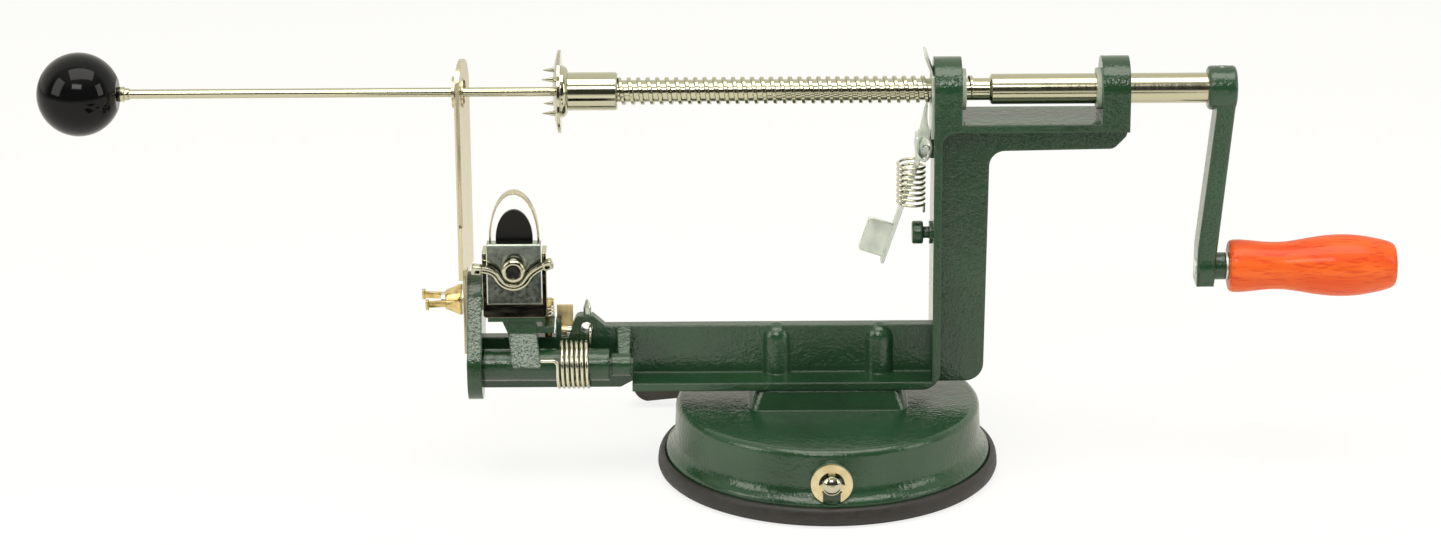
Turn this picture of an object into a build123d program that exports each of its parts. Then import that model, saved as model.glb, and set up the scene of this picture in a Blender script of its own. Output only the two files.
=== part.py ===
"""Hand-cranked spiral potato cutter on a suction base.

Millimetres. +Z is up, +X runs along the drive shaft towards the crank, -Y is the front.
The origin is the middle of the suction pad's flat underside.
"""
from build123d import *
import math
import os

os.makedirs("parts", exist_ok=True)

# ---------------------------------------------------------------- driving dimensions
# drive line
SHAFT_Z = 127.0            # height of the drive shaft's axis
SHAFT_D = 9.6              # smooth stretch of the shaft
THREAD_D = 8.7             # over the feed thread's crests
NECK_D = 7.0               # turned neck between thread and smooth stretch
THREAD_START_X = -66.8
THREAD_END_X = 45.5
NECK_END_X = 51.2
RUNNING_FIT = 0.05         # radial play of a shaft in its hole
CLEAR = 0.3                # play between pieces that only pass each other

# fork that drives the potato
FORK_D = 26.4
FORK_T = 1.6
FORK_X = -84.6             # right face of the fork disc
FORK_SLEEVE_D = 12.1
PRONG_L = 4.6
PRONG_D = 2.2
PRONG_CIRCLE_D = 15.6
PRONG_COUNT = 4
SOCKET_DEPTH = 20.0        # how far the skewer goes into the shaft

# skewer and ball handle
SKEWER_D = 3.0
BALL_D = 26.6
BALL_X = -237.2
BALL_FLAT_X = -224.9
FERRULE_L = 3.8
FERRULE_D = 4.8

# crank
CRANK_RADIUS = 59.6
CRANK_HUB_X = 119.8        # left face of the hub
CRANK_HUB_T = 9.1
CRANK_HUB_R = 7.0
CRANK_ARM_W = 11.4         # front to back
CRANK_FOOT_X = 118.0       # left face at the grip's end
CRANK_FOOT_T = 8.6
CRANK_FOOT_R = 6.6
CRANK_BOSS_L = 3.0         # boss on the foot's right face, round the handle rod
GRIP_GAP = 1.9             # hub to grip, filled by boss and washer
GRIP_L = 53.6
GRIP_BUTT_D = 17.0
GRIP_NECK_D = 15.2
GRIP_BELLY_D = 19.8
GRIP_TAIL_D = 14.8
GRIP_RECESS = 4.0
HANDLE_ROD_D = 5.0
CROSS_PIN_D = 2.0

# frame casting
WEB_T = 4.2
FLANGE_T = 2.6
FOOT_Z = 30.2              # underside of the lower arm
FOOT_HALF_W = 12.5         # half the width of the lower arm's flange
TOP_HALF_W = 10.5          # half the width of the ears and the platform
POST_X = 33.2
POST_W = 17.6
ARM_LEFT_X = -63.0
WEB_TOP_Z = 48.8
TAIL_TOP_Z = 45.2          # web behind the peeling arm
TAIL_BOTTOM_Z = 28.0
HUMP_TOP_Z = 52.4
PLATFORM_DROP = 8.9        # from the shaft's axis down to the platform's top
PLATFORM_H = 10.5          # platform and the web below it
EAR_T = 8.7
EAR_R = 10.4
REAR_EAR_X = 86.1
HUMP_X = -78.4
HOOK_HOLE_D = 3.8
HOOK_X = -77.7             # hole that the torsion spring hooks
HOOK_Z = 48.4
LUG_X = -68.0              # left face of the lug that holds the pivot rod
LUG_W = 4.6
CATCH_X = -87.6            # left face of the block beside the arm's catch
CATCH_BLOCK_W = 1.7
CATCH_ROD_D = 1.5
BOSS_D = 10.0
BOSS_SPACING = 33.0
CORNER_R = 6.0

# bushes
BUSH_WALL = 1.1
BUSH_FLANGE_D = 13.2
BUSH_FLANGE_T = 1.5

# end plate and peeling arm
END_PLATE_X = -115.4
END_PLATE_T = 4.6
END_PLATE_R = 11.0
SLICER_SEAT_Z = 55.6       # centre of the end plate's round top
PIVOT_Y = -10.5
PIVOT_Z = 38.9
PIVOT_ROD_D = 5.0
BARREL_D = 10.4
BARREL_L = 40.2
ARM_PAD_W = 9.2
ARM_NECK_Z = 54.4
ARM_X = -97.4              # middle of the arm's pad
SEAT_T = 1.2
STOP_X = -90.2
STOP_Y = -0.2
STOP_SCREW_D = 2.4
HOLDER_X = -100.1
HOLDER_Y = -12.5           # front of the blade holder
SEAT_SCREW_D = 3.0
CLAMP_BOLT_D = 4.0
CLAMP_Z = 72.6
HOLDER_W = 20.4
HOLDER_H = 21.6
HOLDER_D = 8.0
HOLDER_SHEET = 1.4
PEEL_BLADE_W = 16.0
PEEL_BLADE_H = 15.6
PEEL_STRIP_W = 5.0
PEEL_STRIP_T = 0.6
GUIDE_W = 11.8
GUIDE_H = 9.7

# slicing blade
SLICER_T = 1.4
SLICER_W = 21.0
SLICER_LEAN = 6.0          # degrees that the plate is turned about the vertical
SLICER_EYE_D = 8.0
SLICER_LOW_Z = 42.0
SLICER_BOLT_D = 4.0
SLICER_STUD_L = 7.6

# torsion spring round the barrel
TORSION_WIRE_D = 1.12
TORSION_MEAN_D = 14.2
TORSION_TURNS = 7
TORSION_PITCH = 1.56
TORSION_LEFT_X = -87.2

# feed release
LEVER_T = 1.3
LEVER_W = 7.0
LEVER_PIVOT_Z = 108.4
LEVER_X = 29.0             # middle of the upright blade
RELEASE_TURNS = 8
RELEASE_WIRE_D = 0.85
RELEASE_MEAN_D = 8.6
RELEASE_PITCH = 1.76
RELEASE_TOP_Z = 103.2
RELEASE_X = 26.4
GUIDE_PLATE_T = 0.8
GUIDE_PLATE_W = 14.0
LEVER_LUG_R = 3.6
LEVER_LUG_W = 4.2
LEVER_PIN_X = 30.9
LEVER_PIN_D = 2.0
LEVER_CHEEK_W = 5.2
LEVER_CHEEK_H = 9.4
LEVER_CHEEK_T = 1.1
TAIL_RUN = 11.2            # how far the tail leans to the left
TAIL_DROP = 33.4
TAIL_W = 4.4
TAB_W = 8.0
ANCHOR_Z = 79.4
ANCHOR_D = 7.4

# base
PAD_D = 110.4
PAD_H = 6.0
HOUSING_D = 105.0          # across the bead at its foot
HOUSING_TOP_D = 98.4
HOUSING_TOP_Z = 23.4
HOUSING_WALL = 2.6
FLARE_H = 7.4              # height over which the wall flares to the bead
PEDESTAL_L = 51.6
PEDESTAL_W = 27.0
AXLE_Z = 13.4
AXLE_D = 6.2
CLIP_D = 13.2
CLIP_T = 1.0
CAM_LIFT = 2.4
CAM_W = 6.0
STEM_D = 9.0
SUCTION_LEVER_L = 66.0
SUCTION_LEVER_T = 4.0
SUCTION_LEVER_W = 11.0
SUCTION_LEVER_DROP = 1.5   # its thumb end lies this much below the axle
SUCTION_END_R = 5.6
SUCTION_NECK_W = 10.4
SUCTION_END_X = 8.0        # the thumb end's middle, from the lever's tip
SUCTION_THUMB_R = 4.2
SUCTION_THUMB_T = 3.0
SCREW_D = 4.0              # screws between base and frame
SCREW_HEAD_D = 7.4
SCREW_HEAD_H = 2.6
SCREW_GRIP = 3.0           # what the head clamps under the roof
SCREW_REACH = 10.0         # its thread above the frame's foot
SCREW_SOCKET_D = 3.2
SCREW_SOCKET_H = 1.2

# ---------------------------------------------------------------- places that follow from them
LEVER_FACE_Y = max(HOUSING_D, HOUSING_TOP_D) / 2 + CLEAR    # the lever clears the housing's widest part
PLATFORM_TOP_Z = SHAFT_Z - PLATFORM_DROP
PLATFORM_WEB_Z = PLATFORM_TOP_Z - PLATFORM_H     # underside of the web below the platform
FOOT_RING_Z = PAD_H - 1.4                        # the housing's foot stands in the pad here
PAD_BOSS_Z = 4.4                                 # top of the pad's centre boss
CAM_R = AXLE_D / 2 + CAM_LIFT / 2 + 0.1
AXLE_FACE_Y = HOUSING_TOP_D / 2 + 1.6            # face of the boss behind the clip
AXLE_END_Y = AXLE_FACE_Y + CLIP_T + 2.2
ROOF_Z = HOUSING_TOP_Z - HOUSING_WALL            # underside of the housing's roof
LUG_RIGHT_X = LUG_X + LUG_W
END_PLATE_RIGHT_X = END_PLATE_X + END_PLATE_T
BARREL_X = END_PLATE_RIGHT_X + CLEAR             # left end of the barrel
CLAMP_X = HOLDER_X - 0.1
CLAMP_TOP_Z = ARM_NECK_Z + SEAT_T + HOLDER_H + 3.2
SLICER_BOLT_Z = SLICER_SEAT_Z + 2.0
GRIP_X = CRANK_FOOT_X + CRANK_FOOT_T + GRIP_GAP  # left face of the grip
HANDLE_Z = SHAFT_Z - CRANK_RADIUS
ARCH_Z = CLAMP_TOP_Z + 0.2                       # where the peeling blade's arch springs
CATCH_ROD_Z = TAIL_TOP_Z + 1.7                   # rod that the catch turns on
STOP_EAR_Z = PIVOT_Z + 12.4                      # top of the ear round the stop screw

# ---------------------------------------------------------------- shapes used again


def block(x_span, y_span, z_span):
    """A box between two values on each axis."""
    size = [span[1] - span[0] for span in (x_span, y_span, z_span)]
    middle = [(span[1] + span[0]) / 2 for span in (x_span, y_span, z_span)]
    return Pos(*middle) * Box(*size)


def bar_x(radius, x_from, x_to, y=0.0, z=SHAFT_Z):
    """A round bar along X."""
    return Pos((x_from + x_to) / 2, y, z) * Rot(0, 90, 0) * Cylinder(radius, abs(x_to - x_from))


def bar_y(radius, y_from, y_to, x, z):
    """A round bar along Y."""
    return Pos(x, (y_from + y_to) / 2, z) * Rot(90, 0, 0) * Cylinder(radius, abs(y_to - y_from))


def bar_z(radius, z_from, z_to, x=0.0, y=0.0):
    """A round bar along Z."""
    return Pos(x, y, (z_from + z_to) / 2) * Cylinder(radius, abs(z_to - z_from))


def prism_y(outline, y_from, y_to):
    """An outline of (x, z) corners, given depth along Y."""
    edge = Polyline(*[(x, y_from, z) for x, z in outline], close=True)
    return extrude(make_face(edge), amount=y_to - y_from, dir=(0, 1, 0))


def prism_x(outline, x_from, x_to):
    """An outline of (y, z) corners, given depth along X."""
    edge = Polyline(*[(x_from, y, z) for y, z in outline], close=True)
    return extrude(make_face(edge), amount=x_to - x_from, dir=(1, 0, 0))


def turned_x(edges, y=0.0, z=SHAFT_Z):
    """A closed outline of (x, radius) edges turned about an X axis."""
    solid = revolve(make_face(edges), Axis.X)
    return Pos(0, y, z) * solid


def rounded_along(solid, direction, places, radius):
    """Fillets the edges along one axis that run through the named (first, second) places."""
    rest = {Axis.X: ("Y", "Z"), Axis.Y: ("X", "Z"), Axis.Z: ("X", "Y")}[direction]
    found = []
    for place in places:
        edges = solid.edges().filter_by(direction)
        found.append(min(edges, key=lambda e: math.dist(
            [getattr(e.center(), name) for name in rest], place)))
    return fillet(found, radius)


def stadium_x(centres, radius, x_from, x_to):
    """A plate across X with round ends about two (y, z) centres."""
    (y1, z1), (y2, z2) = centres
    length = math.dist((y1, z1), (y2, z2))
    across = ((z2 - z1) / length * radius, -(y2 - y1) / length * radius)
    sides = [(y1 + across[0], z1 + across[1]), (y2 + across[0], z2 + across[1]),
             (y2 - across[0], z2 - across[1]), (y1 - across[0], z1 - across[1])]
    plate = prism_x(sides, x_from, x_to)
    return plate + bar_x(radius, x_from, x_to, y1, z1) + bar_x(radius, x_from, x_to, y2, z2)


def save(solid, node):
    """Writes one piece, or one group of like pieces, to its own file."""
    export_step(solid, f"parts/{node}.step")


# ---------------------------------------------------------------- wound springs


def arc_turn(start, heading, towards, radius, degrees):
    """An arc that leaves start along heading and bends towards a direction.

    Returns the edge, where it ends and the heading there."""
    side = (towards - heading * towards.dot(heading)).normalized()
    angle = math.radians(degrees)
    end = start + side * (radius * (1 - math.cos(angle))) + heading * (radius * math.sin(angle))
    out = (heading * math.cos(angle) + side * math.sin(angle)).normalized()
    return Edge.make_tangent_arc(start, heading, end), end, out


def biarc(start, heading, end, out):
    """Two arcs in one smooth line between two points with given headings."""
    span = end - start
    total = heading + out
    a = 2 * (1 - heading.dot(out))
    b = span.dot(total)
    reach = (math.sqrt(b * b + a * span.dot(span)) - b) / a
    first = start + heading * reach
    second = end - out * reach
    middle = (first + second) * 0.5
    across = (second - first).normalized()
    return [Edge.make_tangent_arc(start, heading, middle), Edge.make_tangent_arc(middle, across, end)]


def coil(place, heading, first_half, last_half):
    """The arcs of a helix, two for each half turn, between two counts of half turns."""
    edges = []
    for half in range(first_half, last_half):
        begin, end = half * math.pi, (half + 1) * math.pi
        edges += biarc(place(begin), heading(begin), place(end), heading(end))
    return edges


def wire_form(edges, wire_d):
    """One unbroken round wire along joined edges."""
    path = Wire(edges)
    at = path.position_at(0)
    section = Plane(origin=at, z_dir=path.tangent_at(0)) * Circle(wire_d / 2)
    return sweep(section, path=path)


def least_gap(place, turns, wire_d, name):
    """Prints the smallest air gap between a coil's turns, from points along it."""
    steps = 24
    points = [place(2 * math.pi * i / steps) for i in range(int(turns * steps) + 1)]
    gaps = []
    for i, point in enumerate(points):
        for other in points[i + steps // 2:]:
            gaps.append((other - point).length)
    print(f"{name}: least gap between turns {min(gaps) - wire_d:.2f} mm")


# ---------------------------------------------------------------- base


def suction_pad():
    """Flat rubber disc with a raised lip round the housing's foot and a centre boss."""
    lip_in = HOUSING_D / 2 + CLEAR
    seat_z = FOOT_RING_Z
    outline = Polyline(
        (0, 0, 0), (PAD_D / 2 - 1.6, 0, 0), (PAD_D / 2, 0, 1.8), (PAD_D / 2 - 0.5, 0, PAD_H - 0.8),
        (PAD_D / 2 - 1.2, 0, PAD_H), (lip_in, 0, PAD_H), (lip_in, 0, seat_z),
        (HOUSING_D / 2 - HOUSING_WALL - 4.5, 0, seat_z), (HOUSING_D / 2 - HOUSING_WALL - 7.5, 0, 2.6),
        (STEM_D / 2 + 3.0, 0, 2.6), (STEM_D / 2 + 2.0, 0, PAD_BOSS_Z), (0, 0, PAD_BOSS_Z), close=True)
    return revolve(make_face(outline), Axis.Z)


def base_housing():
    """Cast cover: a low drum with a bead at its foot, a rounded shoulder and a pedestal."""
    foot_z = FOOT_RING_Z
    foot_r = HOUSING_D / 2
    top_r = HOUSING_TOP_D / 2
    flare_r = top_r + 0.4
    shoulder = 2.4
    bulge = math.sqrt(0.5)
    outer = (
        Polyline((0, 0, HOUSING_TOP_Z), (top_r - shoulder, 0, HOUSING_TOP_Z))
        + ThreePointArc((top_r - shoulder, 0, HOUSING_TOP_Z),
                        (top_r - shoulder * (1 - bulge), 0, HOUSING_TOP_Z - shoulder * (1 - bulge)),
                        (top_r, 0, HOUSING_TOP_Z - shoulder))
        + Line((top_r, 0, HOUSING_TOP_Z - shoulder), (flare_r, 0, foot_z + FLARE_H))
        + ThreePointArc((flare_r, 0, foot_z + FLARE_H),
                        ((flare_r + foot_r) / 2 - 0.7, 0, foot_z + FLARE_H / 2 + 0.7),
                        (foot_r - 0.5, 0, foot_z + 3.0))
        + Polyline((foot_r - 0.5, 0, foot_z + 3.0), (foot_r, 0, foot_z + 2.4), (foot_r, 0, foot_z),
                   (foot_r - HOUSING_WALL, 0, foot_z), (flare_r - HOUSING_WALL, 0, foot_z + FLARE_H - 2.0),
                   (top_r - HOUSING_WALL, 0, ROOF_Z - 1.0), (top_r - HOUSING_WALL - 1.0, 0, ROOF_Z),
                   (0, 0, ROOF_Z), (0, 0, HOUSING_TOP_Z)))
    drum = revolve(make_face(outer), Axis.Z)
    sink = 0.5
    low = Pos(0, 0, HOUSING_TOP_Z - sink) * RectangleRounded(PEDESTAL_L, PEDESTAL_W, 4)
    high = Pos(0, 0, FOOT_Z) * RectangleRounded(PEDESTAL_L - 5, PEDESTAL_W - 3, 4)
    drum += loft([low, high])
    # pads under the two frame screws
    for side in (-1, 1):
        x = side * BOSS_SPACING / 2
        drum += bar_z(5.0, ROOF_Z - SCREW_GRIP, ROOF_Z + sink, x)
        drum -= bar_z(SCREW_D / 2 + 0.1, foot_z, FOOT_Z + 1, x)
    # bosses for the axle, front and back
    for side in (-1, 1):
        drum += bar_y(AXLE_D / 2 + 2.6, side * 38, side * (top_r - 1), 0, AXLE_Z)
        drum += bar_y(CLIP_D / 2 + 0.3, side * (top_r - 3), side * AXLE_FACE_Y, 0, AXLE_Z)
        drum -= bar_y(CLIP_D / 2 + 0.3, side * AXLE_FACE_Y, side * (foot_r + 1), 0, AXLE_Z)
    drum -= bar_y(AXLE_D / 2 + RUNNING_FIT, -AXLE_END_Y, AXLE_END_Y, 0, AXLE_Z)
    return drum


def cam_axle():
    """Axle through the base, with an eccentric at its middle and a groove for the clip."""
    axle = bar_y(AXLE_D / 2, -AXLE_END_Y + 0.6, HOUSING_D / 2 + 5.0, 0, AXLE_Z)
    axle += bar_y(CAM_R, -CAM_W / 2, CAM_W / 2, 0, AXLE_Z - CAM_LIFT / 2)
    groove = bar_y(AXLE_D, -AXLE_FACE_Y - CLIP_T - 0.1, -AXLE_FACE_Y, 0, AXLE_Z)
    groove -= bar_y(AXLE_D / 2 - 0.7, -AXLE_FACE_Y - 2 * CLIP_T, -AXLE_FACE_Y + CLIP_T, 0, AXLE_Z)
    axle -= groove
    dome_r = AXLE_D * 0.62
    dome = Pos(0, -AXLE_END_Y - 0.6 + dome_r, AXLE_Z) * Sphere(dome_r)
    dome &= bar_y(AXLE_D / 2, -AXLE_END_Y - 2, -AXLE_END_Y + 0.6, 0, AXLE_Z)
    return axle + dome


def suction_stem():
    """Stem with a window that the eccentric turns in; its foot sits on the pad's boss."""
    # the window is a little taller than the eccentric, which rises as a cosine
    window = 2 * CAM_R + CAM_LIFT * 0.21 + CLEAR
    middle = AXLE_Z - CAM_LIFT / 2
    half = CAM_R + CAM_LIFT / 2 + CLEAR
    depth = CAM_W / 2 + 1.5
    stem = block((-half - 2, half + 2), (-depth, depth),
                 (middle - window / 2 - 1.2, middle + window / 2 + 1.0))
    stem -= block((-half, half), (-depth - 1, depth + 1), (middle - window / 2, middle + window / 2))
    return stem + bar_z(STEM_D / 2, PAD_BOSS_Z, middle - window / 2 - 0.5)


def suction_lever():
    """Flat lever on the axle's back end, with a broad rounded thumb end."""
    y0 = LEVER_FACE_Y
    y1 = y0 + SUCTION_LEVER_T
    end_x = -SUCTION_LEVER_L + SUCTION_END_X
    end_z = AXLE_Z - SUCTION_LEVER_DROP
    shank = prism_y([(end_x, end_z - SUCTION_LEVER_W / 2), (end_x, end_z + SUCTION_LEVER_W / 2),
                     (0, AXLE_Z + SUCTION_NECK_W / 2), (0, AXLE_Z - SUCTION_NECK_W / 2)], y0, y1)
    lever = shank + bar_y(SUCTION_END_R, y0, y1, 0, AXLE_Z)
    lever += bar_y(SUCTION_END_R, y0, y1, end_x, end_z)
    lever += bar_y(SUCTION_THUMB_R, y0, y1 + SUCTION_THUMB_T, end_x, end_z)
    return lever - bar_y(AXLE_D / 2, y0 - 1, y1 + 1, 0, AXLE_Z)


def e_clip():
    """Open retaining ring snapped into the axle's groove, its mouth downwards."""
    y0 = -AXLE_FACE_Y - CLIP_T
    ring = bar_y(CLIP_D / 2, y0, -AXLE_FACE_Y, 0, AXLE_Z)
    ring -= bar_y(CLIP_D / 2 - 2.5, y0 - 1, 0, 0, AXLE_Z)
    throat = AXLE_D - 0.6
    ring -= block((-throat / 2, throat / 2), (y0 - 1, 1 - AXLE_FACE_Y), (AXLE_Z - CLIP_D, AXLE_Z))
    reach = CLIP_D / 2 - 1.2
    groove_r = AXLE_D / 2 - 0.7
    for angle in (90, 200, 340):
        lug = Rot(0, -angle, 0) * block((groove_r, reach), (y0, -AXLE_FACE_Y), (-1.1, 1.1))
        ring += Pos(0, 0, AXLE_Z) * lug
    return ring - bar_y(groove_r, y0 - 1, 0, 0, AXLE_Z)


# ---------------------------------------------------------------- frame casting


def tapered_sides():
    """The space between the casting's drafted flanks, wider at the foot than at the ears."""
    span = 400
    return prism_x([(-FOOT_HALF_W, FOOT_Z - 20), (FOOT_HALF_W, FOOT_Z - 20), (FOOT_HALF_W, WEB_TOP_Z),
                    (TOP_HALF_W, PLATFORM_WEB_Z), (TOP_HALF_W, SHAFT_Z + 30), (-TOP_HALF_W, SHAFT_Z + 30),
                    (-TOP_HALF_W, PLATFORM_WEB_Z), (-FOOT_HALF_W, WEB_TOP_Z)], -span / 2, span / 2)


def ear(x_from):
    """Upright bearing ear with a round head about the shaft's axis."""
    plate = block((x_from, x_from + EAR_T), (-EAR_R, EAR_R), (PLATFORM_TOP_Z - 1, SHAFT_Z))
    return plate + bar_x(EAR_R, x_from, x_from + EAR_T)


def frame_ribbon():
    """The flange: under the lower arm, up the post's left edge, along the platform."""
    right = REAR_EAR_X + EAR_T
    outline = [(ARM_LEFT_X, FOOT_Z), (POST_X + FLANGE_T, FOOT_Z),
               (POST_X + FLANGE_T, PLATFORM_TOP_Z - FLANGE_T), (right, PLATFORM_TOP_Z - FLANGE_T),
               (right, PLATFORM_TOP_Z), (POST_X, PLATFORM_TOP_Z),
               (POST_X, FOOT_Z + FLANGE_T), (ARM_LEFT_X, FOOT_Z + FLANGE_T)]
    ribbon = prism_y(outline, -FOOT_HALF_W, FOOT_HALF_W)
    ribbon = rounded_along(ribbon, Axis.Y, [(POST_X + FLANGE_T, FOOT_Z)], CORNER_R)
    ribbon = rounded_along(ribbon, Axis.Y, [(POST_X + FLANGE_T, PLATFORM_TOP_Z - FLANGE_T)], CORNER_R - 2)
    return ribbon & tapered_sides()


def frame_webs():
    """The upright plate that the flange stiffens: lower arm, post, platform and tail."""
    half = WEB_T / 2
    right = REAR_EAR_X + EAR_T
    post_right = POST_X + POST_W
    lower = block((ARM_LEFT_X - 6, POST_X + 1), (-half, half), (FOOT_Z, WEB_TOP_Z))
    gallows = prism_y([(POST_X + 1, FOOT_Z - 0.8), (post_right - 0.6, FOOT_Z - 0.8),
                       (post_right + 0.4, PLATFORM_WEB_Z - 0.6), (right - 4.2, PLATFORM_WEB_Z),
                       (right, PLATFORM_WEB_Z + 4.4), (right, PLATFORM_TOP_Z - 1),
                       (POST_X + 1, PLATFORM_TOP_Z - 1)], -half, half)
    gallows = rounded_along(gallows, Axis.Y, [(post_right - 0.6, FOOT_Z - 0.8)], CORNER_R)
    gallows = rounded_along(gallows, Axis.Y, [(post_right + 0.4, PLATFORM_WEB_Z - 0.6)], CORNER_R - 1)
    gallows = rounded_along(
        gallows, Axis.Y, [(right - 4.2, PLATFORM_WEB_Z), (right, PLATFORM_WEB_Z + 4.4)], 3.0)
    end_x = END_PLATE_RIGHT_X - 0.5
    tail = prism_y([(end_x, TAIL_BOTTOM_Z), (ARM_LEFT_X - 4, TAIL_BOTTOM_Z), (ARM_LEFT_X, FOOT_Z),
                    (ARM_LEFT_X, WEB_TOP_Z), (HUMP_X + 6.6, WEB_TOP_Z), (HUMP_X + 2.6, HUMP_TOP_Z),
                    (HUMP_X - 2.6, HUMP_TOP_Z), (HUMP_X - 5.2, TAIL_TOP_Z), (end_x, TAIL_TOP_Z)], -half, half)
    tail = rounded_along(tail, Axis.Y, [(HUMP_X + 2.6, HUMP_TOP_Z), (HUMP_X - 2.6, HUMP_TOP_Z)], 2.2)
    return lower + gallows + tail


def pivot_lug():
    """Lug in front of the web that holds the pivot rod's right end, with a sloped gusset."""
    right = LUG_RIGHT_X
    lug = bar_x(BARREL_D / 2 - 1.5, LUG_X - 1.6, right, PIVOT_Y, PIVOT_Z)
    lug += block((LUG_X, right), (PIVOT_Y, 0), (PIVOT_Z - 2.6, PIVOT_Z + 2.6))
    slope = Polyline((LUG_X, 0, WEB_TOP_Z), (LUG_X, -WEB_T / 2, WEB_TOP_Z),
                     (LUG_X, PIVOT_Y - 2.0, PIVOT_Z + 2.6), (LUG_X, PIVOT_Y, PIVOT_Z), (LUG_X, 0, PIVOT_Z),
                     close=True)
    gusset = extrude(make_face(slope), amount=LUG_W, dir=(1, 0, 0))
    draft = prism_y([(LUG_X, WEB_TOP_Z + 1), (LUG_X + 1.2, PIVOT_Z - 4), (right - 0.8, PIVOT_Z - 4),
                     (right, WEB_TOP_Z + 1)], PIVOT_Y - 6, 1)
    return lug + (gusset & draft)


def frame_casting():
    """One C-shaped casting: lower arm, post, platform with two ears, and end plate."""
    casting = frame_ribbon() + frame_webs() + ear(POST_X) + ear(REAR_EAR_X) + pivot_lug()
    # screw bosses with domed tops on the lower arm
    for side in (-1, 1):
        x = side * BOSS_SPACING / 2
        dome_z = WEB_TOP_Z - BOSS_D / 2 + 0.4
        casting += bar_z(BOSS_D / 2, FOOT_Z, dome_z, x) + Pos(x, 0, dome_z) * Sphere(BOSS_D / 2)
        casting -= bar_z(SCREW_D / 2, FOOT_Z - 1, dome_z - 2, x)
    # end plate, from the pivot rod up to the slicing blade's seat
    end_right = END_PLATE_RIGHT_X
    casting += stadium_x([(PIVOT_Y, PIVOT_Z), (0, SLICER_SEAT_Z)], END_PLATE_R, END_PLATE_X, end_right)
    casting -= bar_x(PIVOT_ROD_D / 2, END_PLATE_X - 1, LUG_RIGHT_X + 1, PIVOT_Y, PIVOT_Z)
    casting -= bar_x(SLICER_BOLT_D / 2 + 0.1, END_PLATE_X - 1, end_right + 1, 0, SLICER_BOLT_Z)
    casting -= bar_y(HOOK_HOLE_D / 2, -WEB_T, WEB_T, HOOK_X, HOOK_Z)
    # bores for the bushes
    bush_r = SHAFT_D / 2 + RUNNING_FIT + BUSH_WALL
    casting -= bar_x(bush_r, POST_X - 1, POST_X + EAR_T + 1)
    casting -= bar_x(bush_r, REAR_EAR_X - 1, REAR_EAR_X + EAR_T + 1)
    # lug that the release lever rocks on, and the anchor knob's root
    lug_half = LEVER_LUG_W / 2
    casting += bar_y(LEVER_LUG_R, -lug_half, lug_half, POST_X, LEVER_PIVOT_Z)
    casting += bar_y(LEVER_PIN_D * 0.85, -lug_half, lug_half, LEVER_PIN_X, LEVER_PIVOT_Z)
    casting -= bar_y(LEVER_PIN_D / 2, -6, 6, LEVER_PIN_X, LEVER_PIVOT_Z)
    casting += bar_x(ANCHOR_D / 2, POST_X - 0.9, POST_X + 1, 0, ANCHOR_Z)
    casting -= bar_x(1.5, POST_X - 3, POST_X + 6, 0, ANCHOR_Z)
    # stop block for the arm's catch
    casting += block((CATCH_X, CATCH_X + CATCH_BLOCK_W), (-WEB_T / 2, WEB_T / 2),
                     (TAIL_TOP_Z - 1, TAIL_TOP_Z + 5.6))
    casting -= bar_x(CATCH_ROD_D / 2, CATCH_X - 1, HUMP_X, 0, CATCH_ROD_Z)
    return casting


def bush(ear_x, side):
    """Flanged plastic bush; side is the face of the ear that the flange covers."""
    inner = SHAFT_D / 2 + RUNNING_FIT
    left, right = ear_x, ear_x + EAR_T
    if side > 0:
        flange = (right, right + BUSH_FLANGE_T)
        body = (left + 0.4, right)
    else:
        flange = (left - BUSH_FLANGE_T, left)
        body = (left, right - 0.4)
    solid = bar_x(inner + BUSH_WALL, *body) + bar_x(BUSH_FLANGE_D / 2, *flange)
    return solid - bar_x(inner, left - 5, right + 5)


def base_screws():
    """Two screws from under the housing's roof into the frame's bosses."""
    head_z = ROOF_Z - SCREW_GRIP - SCREW_HEAD_H
    screws = []
    for side in (-1, 1):
        x = side * BOSS_SPACING / 2
        screw = bar_z(SCREW_HEAD_D / 2, head_z, head_z + SCREW_HEAD_H, x)
        screw += bar_z(SCREW_D / 2, head_z, FOOT_Z + SCREW_REACH, x)
        screw -= bar_z(SCREW_SOCKET_D / 2, head_z - 1, head_z + SCREW_SOCKET_H, x)
        screws.append(screw)
    return Compound(children=screws)


# ---------------------------------------------------------------- drive line


def drive_shaft():
    """Shaft: stub in the fork's sleeve, feed-thread stretch, neck and smooth stretch."""
    end_x = CRANK_HUB_X + CRANK_HUB_T + 0.4
    shaft = bar_x(NECK_D / 2, FORK_X + 2.0, THREAD_START_X)
    shaft += bar_x(THREAD_D / 2, THREAD_START_X, THREAD_END_X)
    shaft += bar_x(NECK_D / 2, THREAD_END_X, NECK_END_X)
    smooth = bar_x(SHAFT_D / 2, NECK_END_X, CRANK_HUB_X)
    smooth = chamfer(smooth.edges().filter_by(GeomType.CIRCLE).sort_by(Axis.X)[0], 0.5)
    shaft += smooth + bar_x(NECK_D / 2, CRANK_HUB_X, end_x)
    shaft -= bar_x(SKEWER_D / 2 + RUNNING_FIT, FORK_X - 5, FORK_X + SOCKET_DEPTH)
    shaft -= bar_z(CROSS_PIN_D / 2, SHAFT_Z - 20, SHAFT_Z + 20, CRANK_HUB_X + CRANK_HUB_T / 2)
    return shaft


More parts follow.
